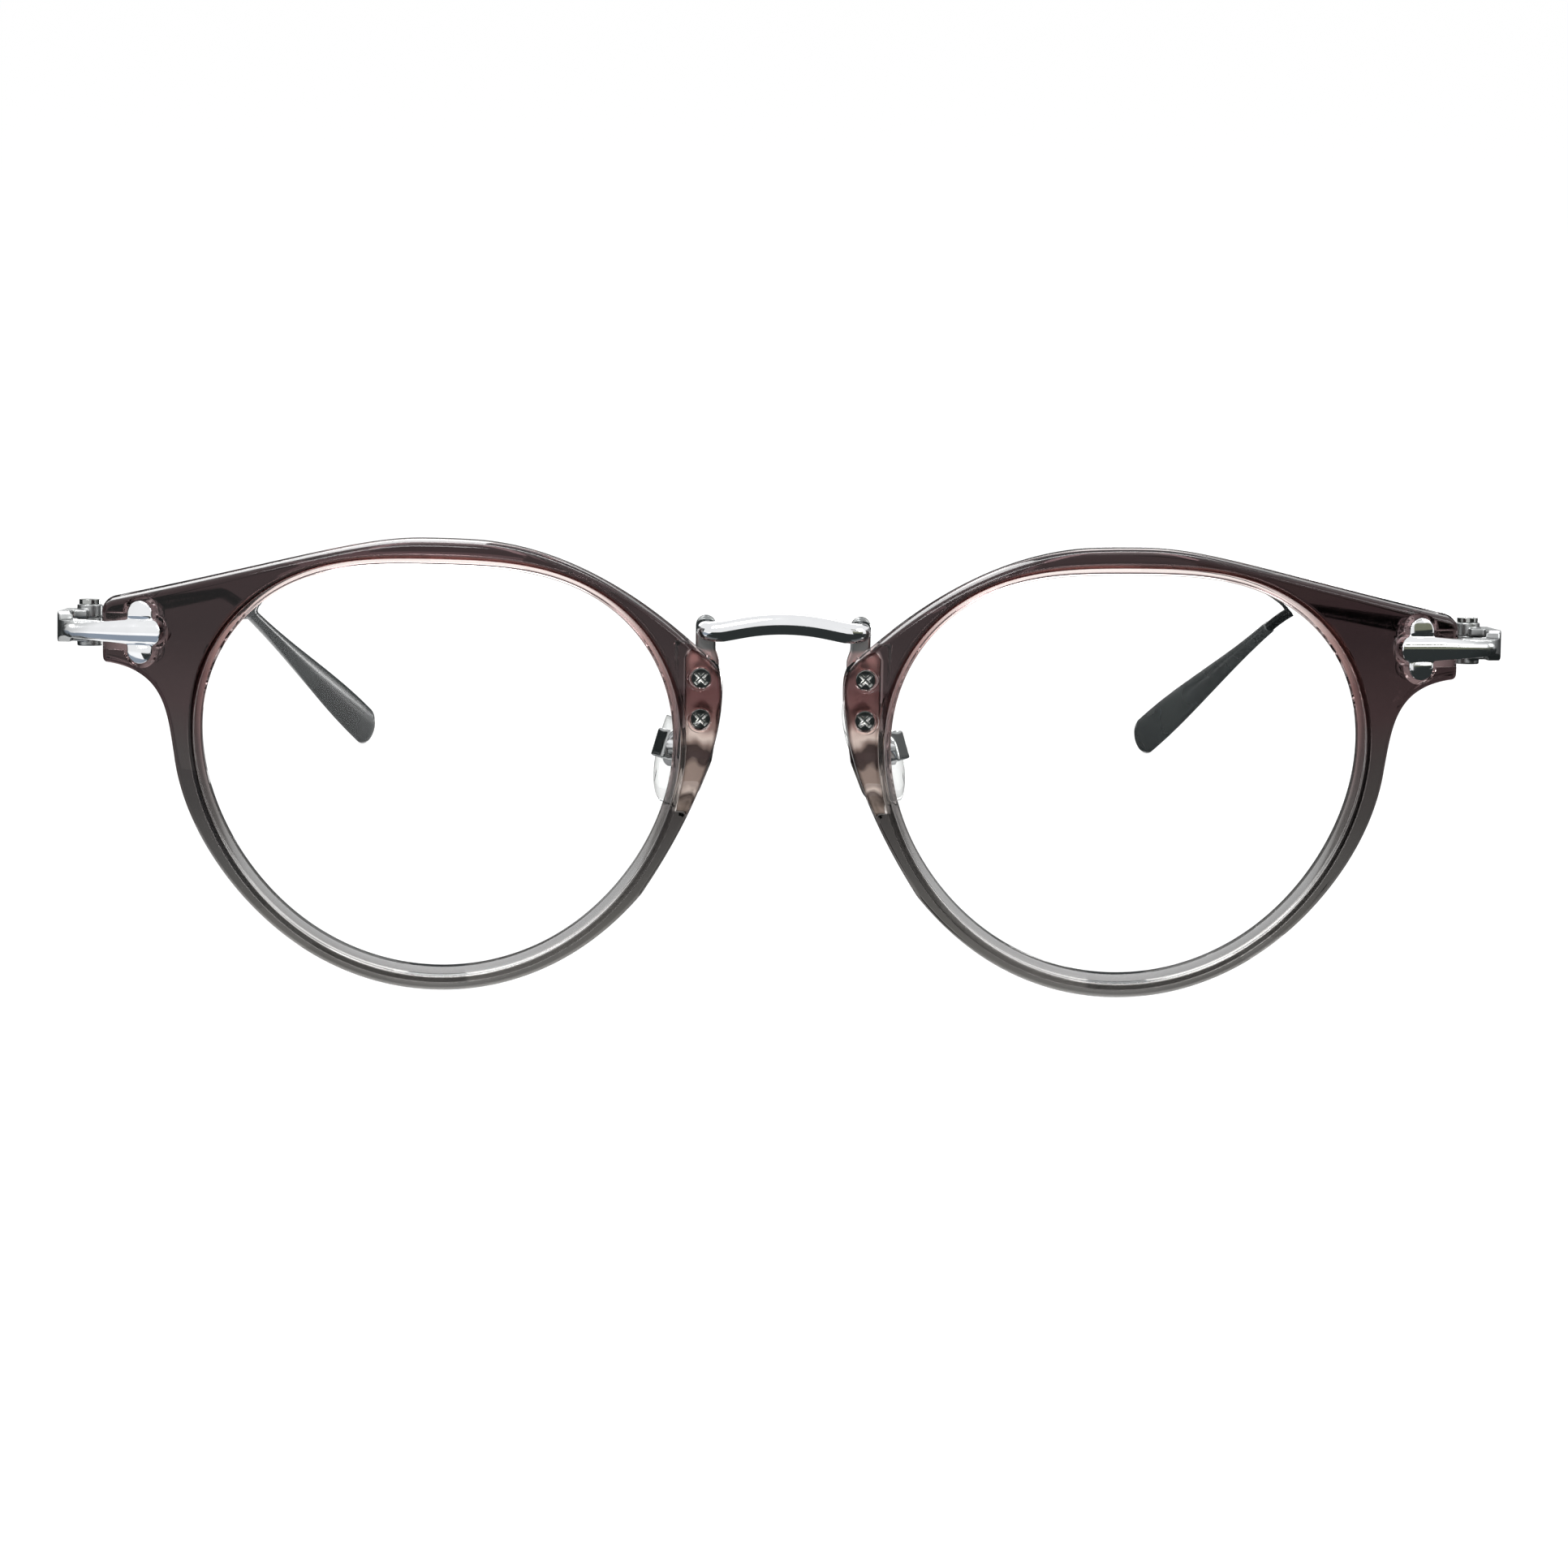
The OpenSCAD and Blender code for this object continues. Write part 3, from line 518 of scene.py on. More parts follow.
def make_acetate():
    """Laminated sheet: brown-red above, grey below, and paler at the lips and at the lower edge, partly as
    thinner sheet and partly by painted light, with painted pale bands and dark lines.
    """
    m, tree, shader = material("acetate", Transmission_Weight=1.0, IOR=1.49, Roughness=0.03,
                               Specular_Tint=(0.4, 0.4, 0.4, 1))
    rise = between(tree, axis(tree, "Z"), 0.0, 46 * MM)
    core = ramp(tree, rise, [
        (0.0, (0.16, 0.157, 0.152)), (0.03, (0.12, 0.116, 0.11)), (0.16, (0.095, 0.091, 0.085)),
        (0.28, (0.072, 0.069, 0.066)), (0.4, (0.052, 0.048, 0.046)), (0.52, (0.046, 0.039, 0.038)),
        (0.62, (0.045, 0.028, 0.029)), (0.78, (0.028, 0.018, 0.019)), (1.0, (0.031, 0.017, 0.018))])
    # partly painted light: the lip's colour by height, the thin sheet's paler colour brightened where the
    # inner edge would refract light
    lip = ramp(tree, rise, [
        (0.0, grey(0.4)), (0.12, grey(0.36)), (0.25, grey(0.34)), (0.38, (0.2, 0.19, 0.185)),
        (0.52, (0.14, 0.1, 0.1)), (0.68, (0.2, 0.11, 0.105)), (0.78, (0.45, 0.28, 0.26)),
        (0.87, (0.95, 0.8, 0.76)), (1.0, (1.0, 0.94, 0.91))])
    # painted light: the rounded outer front edge, near white low down where it would refract the bright
    # backdrop, darker above
    edge = ramp(tree, rise, [
        (0.0, (0.9, 0.89, 0.87)), (0.1, (0.7, 0.68, 0.65)), (0.2, (0.4, 0.38, 0.37)),
        (0.34, (0.13, 0.12, 0.115)), (0.5, (0.08, 0.06, 0.06)), (0.75, (0.06, 0.035, 0.036)),
        (1.0, (0.06, 0.045, 0.047))])
    # the plate behind the lug shows a little higher on the lug's front than on its rear
    behind = math_of(tree, "SUBTRACT", axis(tree, "Y"), plate_y * MM)
    up = math_of(tree, "MULTIPLY_ADD", behind, 0.13, axis(tree, "Z"))
    over_plate = ramp(tree, between(tree, up, plate_low * MM, lug_top * MM), [
        (0.0, (0.72, 0.68, 0.65)), (0.5, (0.8, 0.74, 0.71)), (0.62, (0.66, 0.54, 0.53)),
        (0.75, (0.64, 0.5, 0.5)), (1.0, (0.78, 0.6, 0.58))])
    colour = mixed(tree, share(tree, "groove"), core, (0.97, 0.95, 0.95))
    colour = mixed(tree, plate_mask(tree, up), colour, over_plate)
    colour = mixed(tree, share(tree, "edge"), colour, edge)
    colour = mixed(tree, share(tree, "lip"), colour, lip)
    # painted light: a near-white band round the front lip of the opening, low down
    colour = mixed(tree, share(tree, "front"), colour, (1.0, 0.99, 0.97))
    # painted light: a red band along the upper front lip, where light would shine through the thin acetate in
    # its own red
    colour = mixed(tree, share(tree, "red_light_band"), colour, (0.2, 0.05, 0.04))
    # painted shade: a dark line along the opening's rear edge and its upper part
    colour = mixed(tree, share(tree, "line"), colour, grey(0.045))
    # painted light: pale pink rings on the walls of the screw seats and of the clover pocket
    colour = mixed(tree, share(tree, "cut"), colour, (0.95, 0.72, 0.7))
    # painted shade: silhouettes of the clear plastic go dark
    colour = mixed(tree, between(tree, facing_away(tree), 0.72, 1.0), colour, (0.05, 0.045, 0.045))
    painted(tree, shader, colour)
    uneven(tree, shader, 0.015, 0.06, 600, 4, 0.35, 0.8)
    let_lamps_through(tree, shader, (0.55, 0.5, 0.5))
    return m


def make_lens():
    """Clear lens with a faint coating."""
    m, tree, shader = material("lens", Base_Color=(0.997, 0.998, 0.997, 1), Transmission_Weight=1.0, IOR=1.5,
                               Specular_Tint=(0.12, 0.13, 0.14, 1))
    uneven(tree, shader, 0.0, 0.012, 60, 2, 0.4, 0.9)
    let_lamps_through(tree, shader, (0.97, 0.97, 0.97))
    return m


def make_metal(name, colour, low, high, marks=(250, 250, 9000), bump=0.02):
    """Polished metal of a slightly uneven tone. The tone is given back for more looks."""
    m, tree, shader = material(name, Metallic=1.0)
    bright = np.array(colour)
    tone = ramp(tree, noise(tree, 350, 3), [(0.3, bright * 0.94), (0.7, bright)])
    painted(tree, shader, tone)
    worn(tree, shader, low, high, scratch=marks, bump=bump)
    return m, tree, shader, tone


def painted_plate_reflections(tree):
    """Painted reflections: wavy bright and dark bands on the front of the pressed plate behind each lug, and
    painted shade at its neck.
    """
    wave = math_of(tree, "SINE", math_of(tree, "MULTIPLY", aside(tree), 2600.0))
    swirl = math_of(tree, "MULTIPLY_ADD", noise(tree, 420, 2), 2.2 * MM, -1.1 * MM)
    up = math_of(tree, "ADD", math_of(tree, "MULTIPLY_ADD", wave, 0.3 * MM, axis(tree, "Z")), swirl)
    tone = ramp(tree, between(tree, up, plate_low * MM, lug_top * MM), [
        (0.0, (0.2, 0.17, 0.15)), (0.05, (0.7, 0.62, 0.57)), (0.1, (0.22, 0.18, 0.17)),
        (0.13, (0.85, 0.76, 0.7)), (0.16, (0.5, 0.43, 0.4)), (0.27, (0.44, 0.38, 0.35)),
        (0.3, (0.09, 0.07, 0.07)), (0.39, (0.08, 0.06, 0.06)), (0.42, (0.4, 0.34, 0.32)),
        (0.455, (1.0, 0.96, 0.93)), (0.485, (0.88, 0.8, 0.77)), (0.52, (0.38, 0.29, 0.28)),
        (0.7, (0.3, 0.21, 0.21)), (0.8, (0.22, 0.15, 0.15)), (0.9, (0.5, 0.38, 0.37)),
        (1.0, (0.62, 0.48, 0.47))])
    # painted shade: the neck above the lug is a flat dark grey
    neck = between(tree, axis(tree, "Z"), (neck_z - 0.3) * MM, (neck_z + 0.1) * MM)
    return mixed(tree, neck, tone, (0.3, 0.31, 0.31))


def make_silver():
    """Plated metal: bright in front, satin behind the nose, rougher and darker by painted shade behind each
    corner, with painted reflection bands on the plates.
    """
    m, tree, shader, tone = make_metal("silver_metal", (0.84, 0.85, 0.865), 0.05, 0.12)
    plate = share(tree, "plate")
    corner = between(tree, aside(tree), 65.5 * MM, 66.5 * MM)
    rear = between(tree, axis(tree, "Y"), (front_y + 6.8) * MM, (front_y + 7.8) * MM)
    shaded_corner = math_of(tree, "MULTIPLY", corner, rear)
    nose = between(tree, aside(tree), 26 * MM, 24 * MM)
    inside = between(tree, axis(tree, "Y"), (front_y + 4.8) * MM, (front_y + 5.5) * MM)
    satin = math_of(tree, "MAXIMUM", shaded_corner, math_of(tree, "MULTIPLY", nose, inside))
    satin = math_of(tree, "MAXIMUM", satin, plate)
    # painted shade darkens the metal behind each corner, and the plates carry painted reflection bands
    colour = mixed(tree, shaded_corner, mixed(tree, plate, tone, painted_plate_reflections(tree)), (0.36, 0.37, 0.37))
    painted(tree, shader, colour)
    rough = shader.inputs["Roughness"].links[0].from_socket
    tree.links.new(math_of(tree, "MULTIPLY_ADD", satin, 0.24, rough), shader.inputs["Roughness"])
    return m


def make_steel():
    """Screw metal, with a painted highlight within the cross slot of each bridge screw."""
    m, tree, shader, tone = make_metal("screw_metal", (0.4, 0.41, 0.4), 0.08, 0.16)
    dx = math_of(tree, "SUBTRACT", aside(tree), screw_x * MM)
    upper = math_of(tree, "SUBTRACT", axis(tree, "Z"), screw_z * MM)
    lower = math_of(tree, "ADD", upper, screw_pitch * MM)
    dz = math_of(tree, "MINIMUM", math_of(tree, "ABSOLUTE", upper), math_of(tree, "ABSOLUTE", lower))
    r = math_of(tree, "ADD", math_of(tree, "MULTIPLY", dx, dx), math_of(tree, "MULTIPLY", dz, dz))
    # painted highlight: near white within the cross slot
    slot = between(tree, math_of(tree, "SQRT", r), (screw_r + 0.02) * MM, (screw_r - 0.1) * MM)
    painted(tree, shader, mixed(tree, slot, tone, (0.95, 0.95, 0.93)))
    return m


def make_tip():
    """Charcoal plastic with a soft gloss."""
    m, tree, shader = material("tip", Coat_Weight=0.7, Coat_Roughness=0.2, Specular_IOR_Level=0.75)
    tone = ramp(tree, noise(tree, 160, 3), [(0.3, (0.026, 0.029, 0.029)), (0.7, (0.034, 0.038, 0.038))])
    painted(tree, shader, tone)
    worn(tree, shader, 0.24, 0.3, scale=160.0, scratch=(300, 80, 300), bump=0.01, distance=3e-6)
    return m


def make_pad():
    """Clear silicone, a little cloudy in places and dark at its silhouette by painted shade."""
    m, tree, shader = material("clear_pad", Transmission_Weight=1.0, IOR=1.41)
    clear = ramp(tree, noise(tree, 250, 2), [(0.3, (0.93, 0.945, 0.935)), (0.7, (0.97, 0.98, 0.975))])
    # painted shade: the pad goes dark towards its silhouette
    outline = ramp(tree, facing_away(tree), [(0.35, grey(0)), (0.62, grey(0.6)), (0.88, grey(1))])
    painted(tree, shader, mixed(tree, outline, clear, (0.1, 0.105, 0.1)))
    uneven(tree, shader, 0.03, 0.07, 700)
    let_lamps_through(tree, shader, (0.85, 0.85, 0.85))
    return m


acetate = make_acetate()
lens_glass = make_lens()
pad_clear = make_pad()
tip_dark = make_tip()
silver = make_silver()
steel = make_steel()
chrome = make_metal("pad_metal", (0.4, 0.41, 0.41), 0.05, 0.1)[0]
gunmetal = make_metal("temple_metal", (0.13, 0.14, 0.14), 0.24, 0.3, (900, 120, 900), 0.01)[0]


# Rims
# Angles, round the opening from below the nose, that the parts of a rim's outline face
under_lug = 212
under_wing = 360
wing_corner = 388
wing_side = 389.5
wing_shoulder = 394.5
over_wing = 396.5
brow = 446
over_lug = 460

wing_under = [polar(rim_r(under_wing), under_wing), [wing_x - 6.7, lens_z + 4.2],
              [wing_x - 6.5, wing_low - 0.6], [wing_x - 0.9, wing_low]]
wing_low_corner = [[wing_x - 0.9, wing_low], [wing_x - 0.4, wing_low], [wing_x - 0.1, wing_low + 0.2],
                   [wing_x - 0.1, wing_low + 0.8]]
wing_top_corner = [[wing_x, wing_top - 1.4], [wing_x, wing_top - 0.6], [wing_x - 0.4, wing_top],
                   [wing_x - 1.4, wing_top + 0.2]]
top_at = polar(rim_r(brow - 360), brow - 360)
nose_at = polar(rim_r(over_lug - 360), over_lug - 360)
wing_over = [wing_top_corner[3], top_at + (11.5, -2), top_at + (5.8, -0.1), top_at]
lug_over = [nose_at, nose_at + (-11.5, -0.6), [lug_x + 4.3, lug_top + 1.4], [lug_x + 2.6, lug_top]]
lug_corner = [lug_over[3], [lug_x + 1.2, lug_top - 0.8], [lug_x + 0.1, lug_top - 1.7], [lug_x, lug_top - 3.3]]
lug_under = [lug_corner[3], [lug_x - 0.3, lug_top - 8.4], [lug_x + 1.8, lug_top - 15.5],
             polar(rim_r(under_lug), under_lug)]

# Rounded edges of a rim, in front, behind and at the opening, and the crown of its outer wall
edge_front = 0.55
edge_back = 0.4
edge_inner = 0.22
crown_in = 0.12
crown_half = 1.6
corner_turns = 3


def rim_outline():
    """Outline points with the angle at the opening that each one faces."""
    places, angles = [], []

    def run(points, facing):
        places.extend(np.array(p, float) for p in points)
        angles.extend(float(a) for a in facing)

    def about(points):
        return [math.degrees(math.atan2(p[1] - lens_z, p[0] - lens_x)) % 360 + 360 for p in points]

    def steps(n):
        return np.linspace(0, 1, n)[:-1]

    def along(curve, n):
        return [bezier(curve, t) for t in steps(n)]

    ring = np.linspace(under_lug, under_wing, 130)[:-1]
    run([polar(rim_r(a), a) for a in ring], ring)
    t = steps(45)
    run(along(wing_under, 45), under_wing + (wing_corner - under_wing) * t * t)
    run(along(wing_low_corner, 9), wing_corner + (wing_side - wing_corner) * steps(9))
    low, high = np.array(wing_low_corner[3]), np.array(wing_top_corner[0])
    straight = [low + (high - low) * u for u in steps(14)]
    run(straight, wing_side + (wing_shoulder - wing_side) * steps(14))
    run(along(wing_top_corner, 11), wing_shoulder + (over_wing - wing_shoulder) * steps(11))
    over = along(wing_over, 91)
    seen = np.array(about(over))
    run(over, over_wing + (seen - seen[0]) * (brow - over_wing) / (brow - seen[0]))
    ring = np.linspace(brow, over_lug, 13)[:-1]
    run([polar(rim_r(a - 360), a - 360) for a in ring], ring)
    for curve, n in ((lug_over, 71), (lug_corner, 17), (lug_under, 71)):
        points = along(curve, n)
        run(points, about(points))
    return np.array(places), np.array(angles)


def outward(places):
    """Directions out of the outline. Corners are turned gently, so that the edge doesn't fold on itself."""
    run = np.roll(places, -1, 0) - np.roll(places, 1, 0)
    out = np.stack([run[:, 1], -run[:, 0]], 1) / np.linalg.norm(run, axis=1)[:, None]
    for _ in range(corner_turns):
        out = out + np.roll(out, 1, 0) + np.roll(out, -1, 0)
        out /= np.linalg.norm(out, axis=1)[:, None]
    return out


def crown(depth):
    """How far in the outer wall lies."""
    return crown_in * ((depth - rim_t / 2) / crown_half) ** 2


def rim_section(p, a, n):
    """Places and depths round a rim's section, for an outline point, its angle and its outward direction."""
    def at(grow, lift=0.0):
        return polar(lens_r(a) + grow, a) + (0, lift)

    section = []
    for c, s in quarter(5):
        section.append((at(lip_step + edge_inner * c, lip_lift), edge_inner * s))
    start, end = at(lip_step + edge_inner, lip_lift), p - n * (edge_front + crown(edge_front))
    for t in np.linspace(0, 1, 18)[1:]:
        section.append((start + (end - start) * t, 0.0))
    for c, s in quarter(8)[1:]:
        section.append((p - n * (edge_front * s + crown(edge_front)), edge_front * c))
    for d in (1.0, 1.5, 2.0, 2.5, 3.0, rim_t - edge_back):
        section.append((p - n * crown(d), d))
    for c, s in quarter(6)[1:]:
        section.append((p - n * (edge_back * c + crown(rim_t - edge_back)), rim_t - edge_back * s))
    start, end = p - n * (edge_back + crown(rim_t - edge_back)), at(edge_inner)
    for t in np.linspace(0, 1, 16)[1:]:
        section.append((start + (end - start) * t, rim_t))
    for c, s in quarter(5)[1:]:
        section.append((at(edge_inner * s), rim_t - edge_inner * c))
    back = lip_front + lens_t + 2 * fit
    return section + [(at(0), back), (at(0.12), back), (at(groove), back), (at(groove), lip_front),
                      (at(lip_step, lip_lift), lip_front)]


def rim_shape():
    """The rim before its pocket and bores are cut, with its rear flat where the bridge plate lies."""
    places, angles = rim_outline()
    rings = []
    for p, a, n in zip(places, angles, outward(places)):
        ring = []
        for q, depth in rim_section(p, a, n):
            limit = plate_y + 2.5 * max(0, q[0] - plate_out - 0.7, plate_low - 0.3 - q[1])
            ring.append((q[0], min(face_y(q[0], q[1], depth), limit), q[1]))
        rings.append(ring)
    points = [p for ring in rings for p in ring]
    return points, grid_faces(len(rings), len(rings[0]), closed_rows=True)


# Cutters for the clover pocket and the screw bores
pocket_out = 9
seat_depth = 2.1
bore_gap = 0.04
head_gap = 0.05


def pocket_ring(grow, y):
    """The clover pocket's outline, grown, at a depth in the clover's frame."""
    lobe = lobe_r + pocket_gap + grow
    half = bar_h / 2 + pocket_gap + grow
    bar_mid = bar_h / 2 - bar_inner
    points = [(pocket_out + grow, -half)]
    start = math.asin(min(1, (half - lobe_off) / lobe))
    for f in np.linspace(-start, -math.pi, 22):
        points.append((lobe * cos(f), -lobe_off + lobe * sin(f)))
    side = lobe + bar_mid
    cut = min(lobe_off, math.sqrt(max(half * half - side * side, 0)))
    f0 = math.atan2(cut, -side)
    for f in np.linspace(2 * math.pi - f0, f0, 20):
        points.append((bar_mid + half * cos(f), half * sin(f)))
    for f in np.linspace(math.pi, start, 22):
        points.append((lobe * cos(f), lobe_off + lobe * sin(f)))
    points.append((pocket_out + grow, half))
    return [(x, y, z) for x, z in points]


def flared(ring_at, depth, low, flare=0.2):
    """Rings of a cutter that ends at a depth and widens round the face's edge."""
    rings = [ring_at(0, depth)]
    for c, s in quarter(5):
        rings.append(ring_at(flare * c, flare * s))
    rings.append(ring_at(flare + 0.5, low))
    return rings


def round_ring(r, y, n=40):
    return [(r * cos(2 * math.pi * i / n), y, r * sin(2 * math.pi * i / n)) for i in range(n)]


def solid(name, points, faces):
    """A mesh object for cutting, with its faces turned outwards."""
    mesh = new_mesh(name, points, faces)
    bm = bmesh.new()
    bm.from_mesh(mesh)
    bmesh.ops.recalc_face_normals(bm, faces=bm.faces)
    bm.to_mesh(mesh)
    bm.free()
    return new_object(name, mesh)


def pocket_cutter():
    points, faces = loft(flared(pocket_ring, pocket_depth, -2.0))
    return solid("pocket", [tuple(clover_frame @ Vector(p)) for p in points], faces)


def bore_cutter(z):
    """A screw's bore and the seat of its head, at a height."""
    y0 = face_y(screw_x, z)
    seat = front_y + seat_depth - y0
    rings = [round_ring(screw_r + bore_gap, seat + 6), round_ring(screw_r + bore_gap, seat)]
    rings += flared(lambda grow, y: round_ring(screw_head_r + head_gap + grow, y), seat, -1.5, 0.26)
    points, faces = loft(rings)
    return solid("bore", [(p[0] + screw_x, p[1] + y0, p[2] + z) for p in points], faces)


def cut_rim():
    """Points and faces of the finished rim."""
    rim = solid("rim.blank", *rim_shape())
    cutters = [pocket_cutter(), bore_cutter(screw_z), bore_cutter(screw_z - screw_pitch)]
    for c in cutters:
        add(rim, "BOOLEAN", object=c, operation="DIFFERENCE", solver="EXACT")
    points, faces = baked(rim)
    for ob in [rim, *cutters]:
        bpy.data.objects.remove(ob)
    return points, faces


rim_points, rim_faces = cut_rim()


def ease(value, start, end):
    """0 at the start, 1 at the end, and no further."""
    return np.clip((value - start) / (end - start), 0, 1)


def to_outline(x, z):
    """Each point's distance from the outline."""
    places = rim_outline()[0]
    inside = np.full(len(x), 99.0)
    for p, r in zip(places, np.roll(places, -1, 0) - places):
        t = np.clip(((x - p[0]) * r[0] + (z - p[1]) * r[1]) / (r @ r), 0, 1)
        inside = np.minimum(inside, np.hypot(x - p[0] - r[0] * t, z - p[1] - r[1] * t))
    return inside


def rim_shares():
    """How far each point of the rim belongs to its lips, edges, groove and cut parts, most of which carry
    painted light and shade.
    """
    x, y, z = rim_points.T
    depth = y - face_y(x, z)
    flat = z - np.where(depth < rim_t / 2, lip_lift, 0)
    angle = np.degrees(np.arctan2(flat - lens_z, x - lens_x))
    past = np.hypot(x - lens_x, flat - lens_z) - np.array([lens_r(a) for a in angle])
    inside = to_outline(x, z)
    in_groove = (depth > lip_front - 0.06) & (depth < lip_front + lens_t + 0.12) & (past > 0.95)
    front_lip = depth < lip_front + 0.1
    # painted shade: a dark line along the opening's rear edge and its upper part
    line = ~front_lip & (past < 0.05) & ((depth > rim_t - 0.3) | (z > lens_z + 8))
    # painted light: pale pink rings on the walls of the screw seats and of the clover pocket
    bore = np.zeros(len(x))
    for i in range(2):
        r = np.hypot(x - screw_x, z - screw_z + i * screw_pitch)
        bore = np.maximum(bore, (r < screw_head_r + 0.29) & (r > screw_r + 0.1) & (depth < 2.4))
    pocket = (depth > 0.04) & (depth < 2.4) & (inside > 0.62)
    pocket = pocket & (abs(z - clover_z) < 3.9) & (x > clover_x - 2.4)
    # the pale lip, partly the thin sheet's own paler colour and partly painted light, is wider at the brow
    # and at the bottom
    from_brow = abs((angle - 90 + 180) % 360 - 180)
    width = 0.22 + 0.64 * np.maximum(ease(from_brow, 42, 8), ease(z, 17, 9))
    return {"lip": ease(past, width + 0.1, width - 0.04) * ~in_groove * ~front_lip,
            # painted light: a near-white band at the lower front lip
            "front": ease(past, 1.0, 0.86) * ~in_groove * front_lip * ease(z, 17, 8),
            # painted light: a red band along the upper front lip
            "red_light_band": ease(past, 1.2, 0.9) * front_lip * ease(z, lens_z + 4, lens_z + 12) * ~in_groove,
            "line": line * 1.0, "groove": in_groove * 1.0, "cut": np.maximum(bore, pocket) * 1.0,
            # painted light on the rounded outer front edge
            "edge": ease(inside, 0.5, 0.25) * ease(past, 0.9, 1.2) * ease(depth, 0.75, 0.45) * ~in_groove}


def lens_shape():
    """The lens, from the middle of its front round its edge to the middle of its back."""
    edge, n = 0.12, 240
    front, back = lip_front + fit, lip_front + fit + lens_t

    def ring(depth, part=1.0, grow=-edge):
        points = []
        for i in range(n):
            a = 360 * i / n
            q = polar((lens_r(a) + groove - fit + grow) * part, a)
            points.append((q[0], face_y(q[0], q[1], depth), q[1]))
        return points

    rings = [ring(front, t) for t in np.linspace(0.04, 1, 16)[:-1]]
    for depth, grow in ((front, -edge), (front + edge * 0.3, -edge * 0.3), (front + edge, 0),
                        (back - edge, 0), (back - edge * 0.3, -edge * 0.3), (back, -edge)):
        rings.append(ring(depth, grow=grow))
    rings += [ring(back, t) for t in np.linspace(1, 0.04, 16)[1:]]
    return loft(rings)


# Bridge bar
bridge_y = front_y + bridge_d / 2
bridge_z = lens_z + bridge_rise
post_x = nose_edge - post_in
post_h = post_w - 0.2
bend_r = 1.6
bridge_half = [
    [[0, bridge_y, bridge_z + bridge_arch], [2.8, bridge_y, bridge_z + bridge_arch],
     [post_x - 3.2, bridge_y, bridge_z + 0.3], [post_x - bend_r, bridge_y + 0.1, bridge_z]],
    [[post_x - bend_r, bridge_y + 0.1, bridge_z], [post_x - 0.6, bridge_y + 0.15, bridge_z - 0.1],
     [post_x, bridge_y + 0.6, bridge_z - 0.1], [post_x, bridge_y + bend_r, bridge_z - 0.1]],
]


def bridge_shape():
    """The bar over the nose, which bends back at each end into a post."""
    arch, bend = bridge_half
    half = [(bezier(arch, t), slope(arch, t), bridge_d, bridge_h) for t in np.linspace(0, 1, 21)]
    for t in np.linspace(0, 1, 15)[1:]:
        w, h = bridge_d + (post_w - bridge_d) * t, bridge_h + (post_h - bridge_h) * t
        half.append((bezier(bend, t), slope(bend, t), w, h))
    half.append((np.array([post_x, plate_y, bridge_z - 0.1]), np.array([0, 1.0, 0]), post_w, post_h))
    other = [(flip(p), -flip(s), w, h) for p, s, w, h in half[:0:-1]]
    return sweep(other + half, 36)


# Bridge plates, a little wavy where they were pressed
plate_n = 28
plate_levels = 70
foot_out = plate_out + 0.45
wave_h = 0.12
wave_top = 9.0


def plate_outline():
    """The plate's outline, from the outer side of the post over its round top and round the lug."""
    post_r = post_w / 2
    turn = [rad(a) for a in range(0, 181, 10)]
    outline = [(post_x + post_r * cos(a), plate_top - post_r + post_r * sin(a)) for a in turn]
    outline += [(post_x - post_r, neck_z), (plate_in, neck_z - 1.0), (plate_in, lens_z + 4)]
    outline += [(plate_in + 0.6, lens_z), (plate_in + 1.8, lens_z - 3), (plate_in + 3.2, plate_low)]
    outline += [(plate_in + 4.3, plate_low), (foot_out, lens_z - 2), (foot_out, lens_z + 3)]
    outline += [(plate_out, lens_z + 4.5), (plate_out, neck_z - 0.7), (plate_out - 0.5, neck_z - 0.15)]
    return outline + [(post_x + post_r, neck_z)]


def crossings(outline, z):
    """Where a level line enters and leaves the outline."""
    xs = []
    for p, q in zip(outline, outline[1:] + outline[:1]):
        if (p[1] <= z < q[1]) or (q[1] <= z < p[1]):
            xs.append(p[0] + (q[0] - p[0]) * (z - p[1]) / (q[1] - p[1]))
    return min(xs), max(xs)


def plate_shape():
    outline = plate_outline()
    half_t = plate_t / 2
    rings = []
    for k in range(plate_levels):
        t = k / (plate_levels - 1)
        z = plate_low + (plate_top - plate_low) * (0.5 - 0.5 * cos(math.pi * t))
        z = min(max(z, plate_low + 0.02), plate_top - 0.02)
        a, b = crossings(outline, z)
        up = z - plate_low
        wave = wave_h * max(0, 1 - up / wave_top) * sin(up * 1.9)
        ring = []
        for i in range(plate_n):
            f = 2 * math.pi * i / plate_n
            x, y = full(cos(f), 0.35) * (b - a) / 2, full(sin(f), 0.35) * half_t
            ring.append(((a + b) / 2 + x, plate_y + half_t + y + wave + 0.03, z))
        rings.append(ring)
    return loft(rings)


# Nose pads and their arms
pad_frame = (Matrix.Translation((nose_edge + pad_out, front_y + pad_back, lens_z + pad_rise))
             @ Matrix.Rotation(rad(-pad_turn), 4, "Z") @ Matrix.Rotation(rad(-pad_splay), 4, "Y"))


def pad_point(x, y, z):
    return np.array(pad_frame @ Vector((x, y, z)))


pad_root = np.array([plate_in + 2.1, plate_y + plate_t, lens_z + 1.9])
pad_entry = pad_point(box_end - arm_d / 2, -box_w / 2, 0)
pad_path = [pad_root, pad_root + (0.1, 1.4, 0),
            pad_point(box_end - arm_d / 2, -box_w / 2 - 1.4, 0), pad_entry]


